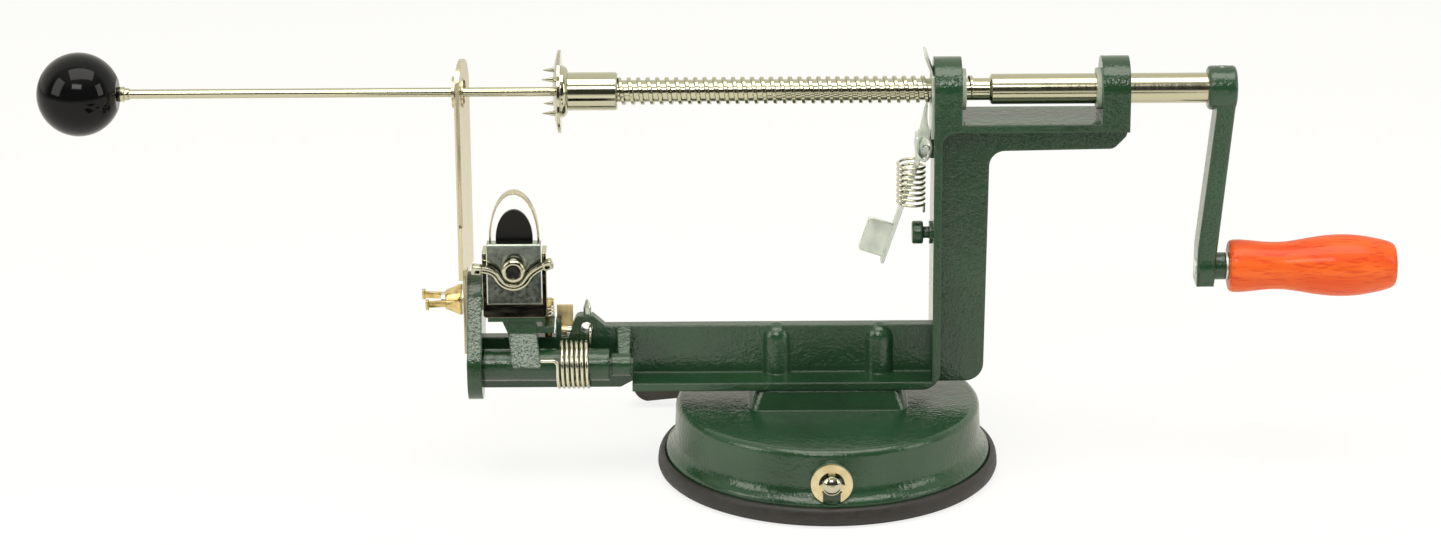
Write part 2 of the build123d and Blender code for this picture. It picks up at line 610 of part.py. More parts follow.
def fork_disc():
    """Domed disc with a sleeve behind it and pointed prongs in front."""
    r = FORK_D / 2
    sleeve_r = FORK_SLEEVE_D / 2
    left = FORK_X - FORK_T
    rim = 0.9
    outline = (
        Polyline((left - 0.9, 0), (left - 0.9, SKEWER_D / 2 + 3))
        + ThreePointArc((left - 0.9, SKEWER_D / 2 + 3), (left - 0.4, r * 0.68), (FORK_X - rim, r))
        + Polyline((FORK_X - rim, r), (FORK_X, r), (FORK_X, sleeve_r + 2.2))
        + RadiusArc((FORK_X, sleeve_r + 2.2), (FORK_X + 2.2, sleeve_r), 2.2)
        + Polyline((FORK_X + 2.2, sleeve_r), (THREAD_START_X - 0.5, sleeve_r),
                   (THREAD_START_X, sleeve_r - 0.5), (THREAD_START_X, 0), (left - 0.9, 0)))
    disc = turned_x(outline)
    for i in range(PRONG_COUNT):
        angle = math.radians(360 / PRONG_COUNT * (i + 0.5))
        y = PRONG_CIRCLE_D / 2 * math.sin(angle)
        z = SHAFT_Z + PRONG_CIRCLE_D / 2 * math.cos(angle)
        root = left + 0.4
        prong = Pos(root - PRONG_L / 2, y, z) * Rot(0, -90, 0) * Cone(PRONG_D / 2, 0.15, PRONG_L)
        disc += prong
    disc -= bar_x(NECK_D / 2, FORK_X + 2.0, THREAD_START_X + 1)
    disc -= bar_x(SKEWER_D / 2 + RUNNING_FIT, left - 9, FORK_X + 3)
    return disc


def skewer_rod():
    """Thin steel rod from the shaft's socket to the ball handle, ground to a point."""
    point_l = 3.0
    tip = FORK_X + SOCKET_DEPTH - 1.0
    rod = bar_x(SKEWER_D / 2, BALL_X, tip - point_l)
    rod += Pos(tip - point_l / 2, 0, SHAFT_Z) * Rot(0, 90, 0) * Cone(SKEWER_D / 2, 0.2, point_l)
    return rod


def skewer_ferrule():
    """Small stepped collar where the rod enters the ball."""
    ferrule = bar_x(FERRULE_D / 2, BALL_FLAT_X, BALL_FLAT_X + FERRULE_L * 0.6)
    ferrule += bar_x(FERRULE_D / 2 - 0.5, BALL_FLAT_X, BALL_FLAT_X + FERRULE_L)
    return ferrule - bar_x(SKEWER_D / 2, BALL_FLAT_X - 1, BALL_FLAT_X + FERRULE_L + 1)


def ball_handle():
    """Ball with a flat where the rod goes in."""
    ball = Pos(BALL_X, 0, SHAFT_Z) * Sphere(BALL_D / 2)
    ball -= block((BALL_FLAT_X, BALL_FLAT_X + 20), (-20, 20), (SHAFT_Z - 20, SHAFT_Z + 20))
    return ball - bar_x(SKEWER_D / 2, BALL_X, BALL_FLAT_X + 1)


# ---------------------------------------------------------------- crank


def crank_arm():
    """Cast crank: round hub, arm that leans in towards the frame, foot for the handle rod."""
    foot_z = HANDLE_Z
    hub_right = CRANK_HUB_X + CRANK_HUB_T
    foot_right = CRANK_FOOT_X + CRANK_FOOT_T
    face = foot_right - CRANK_BOSS_L
    hub = bar_x(CRANK_HUB_R, CRANK_HUB_X, hub_right)
    hub = fillet(hub.edges().filter_by(GeomType.CIRCLE), 1.2)
    shank_t = 6.4
    shank = prism_y([(hub_right - shank_t, SHAFT_Z - 2), (hub_right - 0.1, SHAFT_Z - 2),
                     (hub_right - 0.6, SHAFT_Z - CRANK_HUB_R), (face, foot_z - 1),
                     (face, foot_z - CRANK_FOOT_R + 1.2), (CRANK_FOOT_X, foot_z - CRANK_FOOT_R + 1.2),
                     (CRANK_FOOT_X, foot_z + CRANK_FOOT_R), (CRANK_HUB_X + 2.6, SHAFT_Z - CRANK_HUB_R - 1)],
                    -CRANK_ARM_W / 2, CRANK_ARM_W / 2)
    shank = fillet(shank.edges().filter_by(Axis.Y, reverse=True), 1.0)
    arm = hub + shank
    arm += bar_x(CRANK_FOOT_R, CRANK_FOOT_X + 0.6, face, 0, foot_z)
    arm += bar_x(HANDLE_ROD_D / 2 + 1.9, face - 1, foot_right + 0.9, 0, foot_z)
    arm -= bar_x(NECK_D / 2, CRANK_HUB_X - 1, hub_right + 1)
    arm -= bar_x(HANDLE_ROD_D / 2, CRANK_FOOT_X - 1, foot_right + 2, 0, foot_z)
    arm -= bar_z(CROSS_PIN_D / 2, SHAFT_Z - CRANK_HUB_R - 2, SHAFT_Z + 20, CRANK_HUB_X + CRANK_HUB_T / 2)
    return arm


def crank_pin():
    """Cross pin that locks the hub to the shaft."""
    return bar_z(CROSS_PIN_D / 2, SHAFT_Z - CRANK_HUB_R + 0.6, SHAFT_Z + CRANK_HUB_R - 0.2,
                 CRANK_HUB_X + CRANK_HUB_T / 2)


def handle_rod():
    """Rod pressed into the crank, with a broad head in the grip's recess."""
    z = HANDLE_Z
    end = GRIP_X + GRIP_L - GRIP_RECESS
    rod = bar_x(HANDLE_ROD_D / 2, CRANK_FOOT_X - 0.2, end, 0, z)
    rod += bar_x(HANDLE_ROD_D / 2 + 1.5, end, end + 1.8, 0, z)
    return rod


def handle_washer():
    """Plain washer between crank and grip."""
    x = GRIP_X
    z = HANDLE_Z
    washer = bar_x(HANDLE_ROD_D / 2 + 1.9, x - 0.9, x - 0.2, 0, z)
    return washer - bar_x(HANDLE_ROD_D / 2, x - 2, x + 1, 0, z)


def handle_grip():
    """Turned wooden grip: full butt, slim neck, belly and a rounded tail."""
    x = GRIP_X
    end = x + GRIP_L
    butt, neck, belly, tail = (d / 2 for d in (GRIP_BUTT_D, GRIP_NECK_D, GRIP_BELLY_D, GRIP_TAIL_D))
    bore = HANDLE_ROD_D / 2 + RUNNING_FIT
    outline = (
        Polyline((x, bore), (x, butt - 1.6))
        + RadiusArc((x, butt - 1.6), (x + 1.6, butt), 1.6)
        + Spline((x + 1.6, butt), (x + GRIP_L * 0.25, neck), (x + GRIP_L * 0.66, belly), (end - 2.0, tail),
                 tangents=((1, -0.02), (1, -0.42)))
        + RadiusArc((end - 2.0, tail), (end, tail - 2.0), 2.0)
        + Polyline((end, tail - 2.0), (end, bore), (x, bore)))
    grip = turned_x(outline, 0, HANDLE_Z)
    return grip - bar_x(HANDLE_ROD_D / 2 + 1.8, end - GRIP_RECESS - 0.1, end + 1, 0, HANDLE_Z)


# ---------------------------------------------------------------- slicing blade


def leaned(solid):
    """Turns a piece of the slicing blade about the upright line through the shaft's axis."""
    x = END_PLATE_X - SLICER_T / 2
    return Pos(x, 0, 0) * Rot(0, 0, -SLICER_LEAN) * Pos(-x, 0, 0) * solid


def slicer_blade():
    """Upright steel plate with an eye round the skewer, a bevelled front edge and a flat foot."""
    left, right = END_PLATE_X - SLICER_T, END_PLATE_X
    half = SLICER_W / 2
    seat_top = SLICER_SEAT_Z + END_PLATE_R + 2
    plate = block((left, right), (-half, half), (seat_top - 1.2, SHAFT_Z)) + bar_x(half, left, right)
    plate = leaned(plate)
    bevel = Pos(right, -half, SHAFT_Z - 12) * Rot(0, 0, 20) * Box(1.6, 3.4, 60)
    plate -= leaned(bevel)
    foot = block((left, right), (-half + 2, half - 2), (SLICER_LOW_Z, seat_top))
    plate += foot
    tube = bar_x(SLICER_EYE_D / 2 + 1.0, left - 2.2, right)
    plate += tube
    plate -= bar_x(SLICER_EYE_D / 2, left - 9, right + 9)
    return plate - bar_x(SLICER_BOLT_D / 2 + 0.1, left - 3, right + 3, 0, SLICER_BOLT_Z)


def slicer_bolt():
    """Bolt through the end plate: round head on the right, threaded end to the left."""
    z = SLICER_BOLT_Z
    right = END_PLATE_RIGHT_X
    bolt = bar_x(SLICER_BOLT_D / 2, END_PLATE_X - SLICER_T - SLICER_STUD_L, right, 0, z)
    head = bar_x(3.6, right, right + 2.3, 0, z)
    return bolt + fillet(head.edges().filter_by(GeomType.CIRCLE).sort_by(Axis.X)[-1], 1.4)


def slicer_washer():
    """Washer between the slicing blade and its wing nut."""
    left = END_PLATE_X - SLICER_T
    washer = bar_x(4.6, left - 0.8, left, 0, SLICER_BOLT_Z)
    return washer - bar_x(SLICER_BOLT_D / 2, left - 3, left + 3, 0, SLICER_BOLT_Z)


def wing_nut(hub_r, hub_h, wing_reach, wing_h, wing_t, bore):
    """Wing nut on a +Z axis: tapered hub with two upswept wings along X."""
    nut = Pos(0, 0, hub_h / 2) * Cone(hub_r, hub_r * 0.82, hub_h)
    for side in (-1, 1):
        wing = Polyline((side * hub_r * 0.5, 0, hub_h * 0.15), (side * (hub_r + 1.2), 0, hub_h * 0.3),
                        (side * (wing_reach - 1.2), 0, wing_h - 4.6), (side * wing_reach, 0, wing_h - 0.8),
                        (side * (wing_reach - 2.6), 0, wing_h), (side * (hub_r + 0.6), 0, hub_h * 0.95),
                        (side * hub_r * 0.5, 0, hub_h * 0.9), close=True)
        blade = extrude(make_face(wing), amount=wing_t / 2, both=True)
        nut += blade
    return nut - Cylinder(bore, 4 * wing_h)


def slicer_wing_nut():
    """Brass wing nut on the slicing blade's bolt, wings pointing away to the left."""
    x = END_PLATE_X - SLICER_T - 0.8
    nut = wing_nut(4.2, 5.0, 9.6, 11.6, 1.9, SLICER_BOLT_D / 2 + RUNNING_FIT)
    return Pos(x, 0, SLICER_BOLT_Z) * Rot(0, -90, 0) * Rot(0, 0, 90) * nut


# ---------------------------------------------------------------- peeling arm

def pivot_rod():
    """Rod from the end plate to the lug, with a round head on the left."""
    return bar_x(PIVOT_ROD_D / 2, END_PLATE_X - 0.6, LUG_RIGHT_X + 0.8, PIVOT_Y, PIVOT_Z)


def peeler_arm():
    """Barrel on the pivot rod with an arm that rises and carries the holder's seat."""
    barrel_right = BARREL_X + BARREL_L
    arm = bar_x(BARREL_D / 2, BARREL_X, barrel_right, PIVOT_Y, PIVOT_Z)
    front = PIVOT_Y - BARREL_D / 2 - 0.4
    # the arm's side view: from the barrel's front, back and up to the neck
    side = [(front, PIVOT_Z + 0.6), (front + 5.6, PIVOT_Z + 10.6), (front + 5.6, ARM_NECK_Z),
            (front + 11.4, ARM_NECK_Z), (front + 11.4, PIVOT_Z + 8), (PIVOT_Y + 2, PIVOT_Z)]
    # its front view leans a little to the left as it rises and flares at the neck
    half = ARM_PAD_W / 2
    face = [(ARM_X + 1.0 - half, PIVOT_Z - 1), (ARM_X + 1.0 + half, PIVOT_Z - 1),
            (ARM_X - 0.6 + half, PIVOT_Z + 10.4), (HOLDER_X + 6.2, ARM_NECK_Z), (HOLDER_X - 4.6, ARM_NECK_Z),
            (ARM_X - 0.6 - half, PIVOT_Z + 10.4)]
    arm += prism_x(side, ARM_X - 20, ARM_X + 20) & prism_y(face, front - 5, front + 25)
    seat = block((HOLDER_X - HOLDER_W / 2 + 1.4, HOLDER_X + HOLDER_W / 2 - 1.4),
                 (HOLDER_Y + 0.6, HOLDER_Y + HOLDER_D), (ARM_NECK_Z - 0.4, ARM_NECK_Z + SEAT_T))
    arm += seat
    # ear that carries the stop screw over the frame's web
    arm += block((ARM_X + 2, STOP_X + 2.2), (front + 7.0, 1.9), (STOP_EAR_Z - 2.2, STOP_EAR_Z))
    arm -= bar_z(STOP_SCREW_D / 2, PIVOT_Z, PIVOT_Z + 20, STOP_X, STOP_Y)
    arm -= bar_x(PIVOT_ROD_D / 2 + RUNNING_FIT, BARREL_X - 1, barrel_right + 1, PIVOT_Y, PIVOT_Z)
    return arm


def stop_screw():
    """Screw through the arm's ear; its tip rests on the frame's web."""
    ear_top = STOP_EAR_Z
    screw = bar_z(STOP_SCREW_D / 2, TAIL_TOP_Z + 0.05, ear_top + 4.4, STOP_X, STOP_Y)
    head = bar_z(2.0, ear_top + 4.4, ear_top + 6.2, STOP_X, STOP_Y)
    head -= block((STOP_X - 3, STOP_X + 3), (STOP_Y - 0.3, STOP_Y + 0.3), (ear_top + 5.4, ear_top + 7))
    return screw + head


def stop_spring():
    """Short spring between the ear and the stop screw's head, which keeps it from turning."""
    wire, mean, pitch, turns = 0.6, 3.9, 1.15, 3
    z0 = STOP_EAR_Z + wire / 2 + 0.02

    def place(angle):
        return Vector(STOP_X + mean / 2 * math.cos(angle), STOP_Y + mean / 2 * math.sin(angle),
                      z0 + pitch * angle / (2 * math.pi))

    def heading(angle):
        return Vector(-mean / 2 * math.sin(angle), mean / 2 * math.cos(angle),
                      pitch / (2 * math.pi)).normalized()

    least_gap(place, turns, wire, "stop spring")
    return wire_form(coil(place, heading, 0, 2 * turns), wire)


def blade_holder():
    """Sheet-metal channel, open at the top, with a deep folded bottom."""
    left, right = HOLDER_X - HOLDER_W / 2, HOLDER_X + HOLDER_W / 2
    back = HOLDER_Y + HOLDER_D
    low = ARM_NECK_Z + SEAT_T
    s = HOLDER_SHEET
    sides = block((left, right), (HOLDER_Y, back), (low, low + HOLDER_H))
    sides -= block((left + s, right - s), (HOLDER_Y - 1, back + 1), (low + 4.6, low + HOLDER_H + 1))
    sides = rounded_along(sides, Axis.Y, [(left, low), (right, low)], 1.2)
    sides -= block((left + s, right - s), (HOLDER_Y + s, back + 1), (low + s, low + 8))
    sides -= bar_z(SEAT_SCREW_D / 2 + 0.1, low - 1, low + 3, HOLDER_X, HOLDER_Y + HOLDER_D / 2)
    return sides


def blade_clamp():
    """Folded cover that presses the peeling blade and the guide into the channel."""
    left, right = HOLDER_X - HOLDER_W / 2 + HOLDER_SHEET + 0.2, HOLDER_X + HOLDER_W / 2 - HOLDER_SHEET - 0.2
    low = ARM_NECK_Z + SEAT_T + 4.8
    high = CLAMP_TOP_Z
    front = HOLDER_Y - 0.4
    cover = block((left, right), (front, HOLDER_Y + 3.6), (low, high))
    cover = rounded_along(cover, Axis.X, [(front, high)], 0.7)
    cover -= block((left - 1, right + 1), (front + 1.0, HOLDER_Y + 9), (low - 1, high - 1.0))
    return cover - bar_y(CLAMP_BOLT_D / 2 + 0.1, -40, 20, CLAMP_X, CLAMP_Z)


def arch(half_width, height, x, z, y_from, y_to):
    """A flat plate with a half-elliptical top, given depth along Y."""
    whole = Pos(x, y_to, z) * Rot(90, 0, 0) * extrude(Ellipse(half_width, height), amount=y_to - y_from)
    upper = block((x - 2 * half_width, x + 2 * half_width), (y_from - 1, y_to + 1), (z, z + 2 * height))
    return whole & upper


def peeling_blade():
    """Steel strip bent to a tall arch, its two legs clamped in the channel."""
    base = ARCH_Z
    y0 = HOLDER_Y + 3.7
    half = PEEL_BLADE_W / 2
    strip = arch(half, PEEL_BLADE_H, HOLDER_X, base, y0, y0 + PEEL_STRIP_W - 1)
    strip += block((HOLDER_X - half, HOLDER_X + half), (y0, y0 + PEEL_STRIP_W - 1), (base - 14, base))
    inner = half - PEEL_STRIP_T
    strip -= arch(inner, PEEL_BLADE_H - PEEL_STRIP_T, HOLDER_X, base, y0 - 1, y0 + PEEL_STRIP_W)
    return strip - block((HOLDER_X - inner, HOLDER_X + inner), (y0 - 1, y0 + PEEL_STRIP_W),
                         (base - 15, base + 0.01))


def depth_guide():
    """Rounded tongue inside the arch that sets how deep the blade bites."""
    base = ARCH_Z
    y0 = HOLDER_Y + 4.4
    half = GUIDE_W / 2
    tongue = arch(half, GUIDE_H, HOLDER_X, base, y0, y0 + 1.2)
    tongue += block((HOLDER_X - half, HOLDER_X + half), (y0, y0 + 1.2), (base - 18, base))
    return tongue - bar_y(CLAMP_BOLT_D / 2 + 0.1, -40, 20, CLAMP_X, CLAMP_Z)


def clamp_bolt():
    """Bolt through clamp and guide, its threaded end towards the front."""
    back = HOLDER_Y + 4.4 + 1.2
    bolt = bar_y(CLAMP_BOLT_D / 2, HOLDER_Y - 8.4, back, CLAMP_X, CLAMP_Z)
    return bolt + bar_y(3.4, back, back + 1.8, CLAMP_X, CLAMP_Z)


def clamp_wing_nut():
    """Wing nut on the clamp bolt, wings a little aslant as it was left."""
    front = HOLDER_Y - 0.4
    nut = wing_nut(3.4, 4.4, 13.2, 8.2, 1.8, CLAMP_BOLT_D / 2 + RUNNING_FIT)
    return Pos(CLAMP_X, front, CLAMP_Z) * Rot(90, 0, 0) * Rot(0, 0, 6) * nut


def holder_screw():
    """Low screw that holds the channel to the arm's seat."""
    low = ARM_NECK_Z + SEAT_T + HOLDER_SHEET
    y = HOLDER_Y + HOLDER_D / 2
    head = bar_z(2.6, low, low + 1.2, HOLDER_X, y)
    return head + bar_z(SEAT_SCREW_D / 2, low - HOLDER_SHEET, low, HOLDER_X, y)


def torsion_spring():
    """Coil round the barrel; one leg hooks the frame's hump, the other bears on the arm."""
    radius = TORSION_MEAN_D / 2

    def place(angle):
        return Vector(TORSION_LEFT_X + TORSION_PITCH * (angle - math.pi) / (2 * math.pi),
                      PIVOT_Y + radius * math.cos(angle), PIVOT_Z + radius * math.sin(angle))

    def heading(angle):
        return Vector(TORSION_PITCH / (2 * math.pi), -radius * math.sin(angle),
                      radius * math.cos(angle)).normalized()

    least_gap(place, TORSION_TURNS, TORSION_WIRE_D, "torsion spring")
    # left leg: leaves the coil's front upwards, then bends left to the arm's flank
    first, last = 1, 2 * TORSION_TURNS
    start = place(first * math.pi)
    back = heading(first * math.pi) * -1
    rise = 2.2
    knee = start + back * rise
    bend, knee_end, out = arc_turn(knee, back, Vector(-1, 0, 0), 1.6, 90)
    tip = knee_end + out * (knee_end.X - (ARM_X + ARM_PAD_W / 2 + 0.6) - 0.25)
    left_leg = [Edge.make_line(tip, knee_end), reversed_arc(bend), Edge.make_line(knee, start)]
    # right leg: leaves the coil's back upwards, then bends back through the hook hole
    end = place(last * math.pi)
    up = heading(last * math.pi)
    straight = end + up * (HOOK_Z - PIVOT_Z - 1.5)
    hook, hook_end, through = arc_turn(straight, up, Vector(0, 1, 0), 1.5, 90)
    right_leg = [Edge.make_line(end, straight), hook, Edge.make_line(hook_end, hook_end + through * 5.4)]
    return wire_form(left_leg + coil(place, heading, first, last) + right_leg, TORSION_WIRE_D)


def reversed_arc(edge):
    """The same arc, run the other way."""
    return Edge.make_three_point_arc(edge.position_at(1), edge.position_at(0.5), edge.position_at(0))


# ---------------------------------------------------------------- arm catch


def arm_catch():
    """Small sheet catch behind the web, on a knuckle round its rod; it holds the arm swung out."""
    knuckle = (CATCH_X + CATCH_BLOCK_W + 0.15, CATCH_X + CATCH_BLOCK_W + 1.75)
    back = WEB_T / 2 + CLEAR
    radius = CATCH_ROD_D / 2 + 0.75
    catch = bar_x(radius, *knuckle, 0, CATCH_ROD_Z)
    low = CATCH_ROD_Z + 0.1
    catch += block(knuckle, (0, back + 1), (low, CATCH_ROD_Z + radius))
    # the plate starts high enough to clear the block when it leans back
    catch += block((CATCH_X + 0.2, CATCH_X + 5.4), (back, back + 1), (low + 0.4, CATCH_ROD_Z + 7.6))
    return catch - bar_x(CATCH_ROD_D / 2 + RUNNING_FIT, CATCH_X - 3, CATCH_X + 8, 0, CATCH_ROD_Z)


def catch_rod():
    """Rod between the block and the hump that the catch turns on."""
    return bar_x(CATCH_ROD_D / 2, CATCH_X - 0.4, HUMP_X - 1.0, 0, CATCH_ROD_Z)


def spring_post():
    """Pointed post on the hump."""
    x = HUMP_X + 0.9
    post = bar_z(1.3, HUMP_TOP_Z, HUMP_TOP_Z + 2.4, x)
    return post + Pos(x, 0, HUMP_TOP_Z + 3.7) * Cone(1.3, 0.35, 2.6)


# ---------------------------------------------------------------- feed release


def feed_lever():
    """One strip: a nose under the thread, a dished waist at the pivot, a tail with a thumb tab."""
    nose_top = SHAFT_Z - THREAD_D / 2 - 0.15
    y_half = LEVER_W / 2
    nose = prism_x([(-1.6, nose_top), (1.6, nose_top), (y_half - 0.8, LEVER_PIVOT_Z + 4),
                    (y_half - 0.8, LEVER_PIVOT_Z - 7), (-y_half + 0.8, LEVER_PIVOT_Z - 7),
                    (-y_half + 0.8, LEVER_PIVOT_Z + 4)], LEVER_X - LEVER_T, LEVER_X)
    # cheeks that straddle the frame's lug and take the pin
    lever = nose
    for side in (-1, 1):
        middle = side * (LEVER_LUG_W / 2 + CLEAR + LEVER_CHEEK_T / 2)
        oval = extrude(Ellipse(LEVER_CHEEK_W / 2, LEVER_CHEEK_H / 2), amount=LEVER_CHEEK_T / 2, both=True)
        cheek = Rot(90, 0, 0) * oval
        lever += Pos(LEVER_X - LEVER_T + LEVER_CHEEK_W / 2, middle, LEVER_PIVOT_Z + 0.3) * cheek
    lever -= bar_y(LEVER_PIN_D / 2 + RUNNING_FIT, -6, 6, LEVER_PIN_X, LEVER_PIVOT_Z)
    # tail that runs down and to the left through the spring
    lean = math.atan2(TAIL_DROP, TAIL_RUN)
    top = (LEVER_X - LEVER_T, LEVER_PIVOT_Z - 6.0)
    ux, uz = -math.cos(lean), -math.sin(lean)
    length = math.hypot(TAIL_RUN, TAIL_DROP)
    nx, nz = uz, -ux
    tail = prism_y([top, (top[0] + ux * length, top[1] + uz * length),
                    (top[0] + ux * length - nx * LEVER_T, top[1] + uz * length - nz * LEVER_T),
                    (top[0] - nx * LEVER_T, top[1] - nz * LEVER_T)], -TAIL_W / 2, TAIL_W / 2)
    lever += tail
    # thumb tab folded out to the left from the tail's front edge
    a, b = 0.62 * length, 0.93 * length
    tab = prism_y([(top[0] + ux * a, top[1] + uz * a), (top[0] + ux * b, top[1] + uz * b),
                   (top[0] + ux * b + nx * TAB_W, top[1] + uz * b + nz * TAB_W),
                   (top[0] + ux * a + nx * TAB_W, top[1] + uz * a + nz * TAB_W)],
                  -TAIL_W / 2, -TAIL_W / 2 + LEVER_T)
    return lever + tab


def lever_pin():
    """Pin through the frame's lug and the lever's cheeks."""
    return bar_y(LEVER_PIN_D / 2, -4.1, 4.1, LEVER_PIN_X, LEVER_PIVOT_Z)


def feed_spring():
    """Extension spring beside the lever's tail, down to the anchor on the post."""
    radius = RELEASE_MEAN_D / 2
    x0, y0 = RELEASE_X, 0.0

    def place(angle):
        return Vector(x0 + radius * math.cos(angle), y0 + radius * math.sin(angle),
                      RELEASE_TOP_Z - RELEASE_PITCH * angle / (2 * math.pi))

    def heading(angle):
        return Vector(-radius * math.sin(angle), radius * math.cos(angle),
                      -RELEASE_PITCH / (2 * math.pi)).normalized()

    least_gap(place, RELEASE_TURNS, RELEASE_WIRE_D, "feed spring")
    last = 2 * RELEASE_TURNS
    end = place(last * math.pi)
    out = heading(last * math.pi)
    drop, drop_end, down = arc_turn(end, out, Vector(0, 0, -1), 1.6, 78)
    tail_end = drop_end + down * 2.4
    edges = coil(place, heading, 0, last) + [drop, Edge.make_line(drop_end, tail_end)]
    return wire_form(edges, RELEASE_WIRE_D)


def guide_plate():
    """Thin plate on the ear's left face, holed for the shaft, its top bent away to the left."""
    low = LEVER_PIVOT_Z + LEVER_LUG_R + 0.6
    bend_z = SHAFT_Z + EAR_R - 4.6
    left = POST_X - GUIDE_PLATE_T
    plate = block((left, POST_X), (-GUIDE_PLATE_W / 2, GUIDE_PLATE_W / 2), (low, bend_z))
    plate += prism_y([(POST_X, bend_z - 0.2), (left, bend_z - 0.2), (left - 2.4, bend_z + 6.4),
                      (POST_X - 2.4, bend_z + 6.6)], -GUIDE_PLATE_W / 2 + 1, GUIDE_PLATE_W / 2 - 1)
    return plate - bar_x(SHAFT_D / 2 + 0.5, POST_X - 5, POST_X + 5)


def anchor_knob():
    """Grooved knob on the post that the spring's lower end hooks over."""
    left = POST_X - 6.4
    knob = bar_x(ANCHOR_D / 2, left, left + 3.6, 0, ANCHOR_Z)
    knob = fillet(knob.edges().filter_by(GeomType.CIRCLE), 0.7)
    knob += bar_x(ANCHOR_D / 2 - 1.8, left + 3.4, POST_X - 0.9, 0, ANCHOR_Z)
    return knob + bar_x(1.5, POST_X - 0.9, POST_X + 4, 0, ANCHOR_Z)


# ---------------------------------------------------------------- write the pieces

save(suction_pad(), "suction_pad")
save(base_housing(), "base_housing")
save(cam_axle(), "cam_axle")
save(suction_stem(), "suction_stem")
save(suction_lever(), "suction_lever")
save(e_clip(), "e_clip")
save(frame_casting(), "frame_casting")
save(bush(POST_X, 1), "front_bush")
save(bush(REAR_EAR_X, -1), "rear_bush")
save(base_screws(), "base_screws")
save(drive_shaft(), "drive_shaft")
save(fork_disc(), "fork_disc")
save(skewer_rod(), "skewer_rod")
save(skewer_ferrule(), "skewer_ferrule")
save(ball_handle(), "ball_handle")
save(crank_arm(), "crank_arm")
save(crank_pin(), "crank_pin")
save(handle_rod(), "handle_rod")
save(handle_washer(), "handle_washer")
save(handle_grip(), "handle_grip")
save(slicer_blade(), "slicer_blade")
save(slicer_bolt(), "slicer_bolt")
save(slicer_washer(), "slicer_washer")
save(slicer_wing_nut(), "slicer_wing_nut")
save(pivot_rod(), "pivot_rod")
save(peeler_arm(), "peeler_arm")
save(stop_screw(), "stop_screw")
save(stop_spring(), "stop_spring")
save(blade_holder(), "blade_holder")
save(blade_clamp(), "blade_clamp")
save(peeling_blade(), "peeling_blade")
save(depth_guide(), "depth_guide")
save(clamp_bolt(), "clamp_bolt")
save(clamp_wing_nut(), "clamp_wing_nut")
save(holder_screw(), "holder_screw")
save(torsion_spring(), "torsion_spring")
save(arm_catch(), "arm_catch")
save(catch_rod(), "catch_rod")
save(spring_post(), "spring_post")
save(feed_lever(), "feed_lever")
save(lever_pin(), "lever_pin")
save(feed_spring(), "feed_spring")
save(guide_plate(), "guide_plate")
save(anchor_knob(), "anchor_knob")
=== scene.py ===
"""Studio scene of a hand-cranked spiral potato cutter on a suction base.

Metres, +Z up, +X along the drive shaft towards the crank, -Y the front.
Sizes written as millimetres are named and multiplied by MM.
"""
import math

import bpy
from mathutils import Matrix, Vector


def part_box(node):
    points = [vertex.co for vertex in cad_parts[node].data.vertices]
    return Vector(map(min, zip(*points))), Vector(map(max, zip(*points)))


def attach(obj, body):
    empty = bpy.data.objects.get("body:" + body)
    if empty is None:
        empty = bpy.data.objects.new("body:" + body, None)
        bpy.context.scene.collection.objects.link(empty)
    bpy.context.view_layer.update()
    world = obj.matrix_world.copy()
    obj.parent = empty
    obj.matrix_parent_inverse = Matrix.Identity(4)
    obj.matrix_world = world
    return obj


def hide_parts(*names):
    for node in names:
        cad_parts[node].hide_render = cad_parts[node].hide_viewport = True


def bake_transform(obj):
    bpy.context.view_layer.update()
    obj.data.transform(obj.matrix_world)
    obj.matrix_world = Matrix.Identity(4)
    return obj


bl_info = {
    "name": "Spiral potato cutter",
    "version": (1, 0, 0),
    "blender": (4, 5, 0),
    "location": "View3D > Sidebar > Cutter",
    "description": "Models the visible pieces and finishes of a hand-cranked potato cutter",
    "category": "Object",
}

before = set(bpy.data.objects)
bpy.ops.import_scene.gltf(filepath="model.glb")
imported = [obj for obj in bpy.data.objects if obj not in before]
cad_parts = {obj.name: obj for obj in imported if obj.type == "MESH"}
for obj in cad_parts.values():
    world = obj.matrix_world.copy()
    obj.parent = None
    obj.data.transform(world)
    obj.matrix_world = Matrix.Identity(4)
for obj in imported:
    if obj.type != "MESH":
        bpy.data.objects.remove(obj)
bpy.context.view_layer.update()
MM = 0.001

# ---------------------------------------------------------------- places read from the frame


def middle_of(node):
    """Middle of a CAD node's box."""
    low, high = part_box(node)
    return (low + high) / 2


SHAFT_LOW, SHAFT_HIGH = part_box("drive_shaft")
SHAFT_Z = (SHAFT_LOW.z + SHAFT_HIGH.z) / 2
SHAFT_D = SHAFT_HIGH.z - SHAFT_LOW.z
PIVOT = middle_of("pivot_rod")
HANDLE_Z = middle_of("handle_rod").z
AXLE_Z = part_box("e_clip")[1].z - 6.6 * MM

# ---------------------------------------------------------------- settings


def length(label, words, millimetres):
    """A length property, given in millimetres."""
    return bpy.props.FloatProperty(name=label, description=words, default=millimetres * MM, unit="LENGTH")


def tint(label, words, hex_code):
    """A colour property, given as an sRGB hex value."""
    return bpy.props.FloatVectorProperty(
        name=label, description=words, default=linear(hex_code), subtype="COLOR", size=3, min=0, max=1)


def linear(hex_code):
    """sRGB hex to linear red, green and blue."""
    parts = [int(hex_code[i:i + 2], 16) / 255 for i in (1, 3, 5)]
    return tuple(c / 12.92 if c <= 0.04045 else ((c + 0.055) / 1.055) ** 2.4 for c in parts)


class CutterFinishes(bpy.types.PropertyGroup):
    """Colours of the finishes."""
    enamel: tint("Enamel", "Green of the enamelled castings", "#213F28")
    grip: tint("Grip", "Stain under the grip's lacquer", "#D6470E")
    ball: tint("Ball", "Colour of the ball handle", "#0B0B0C")
    pad: tint("Pad", "Colour of the suction pad's rubber", "#1D1A17")


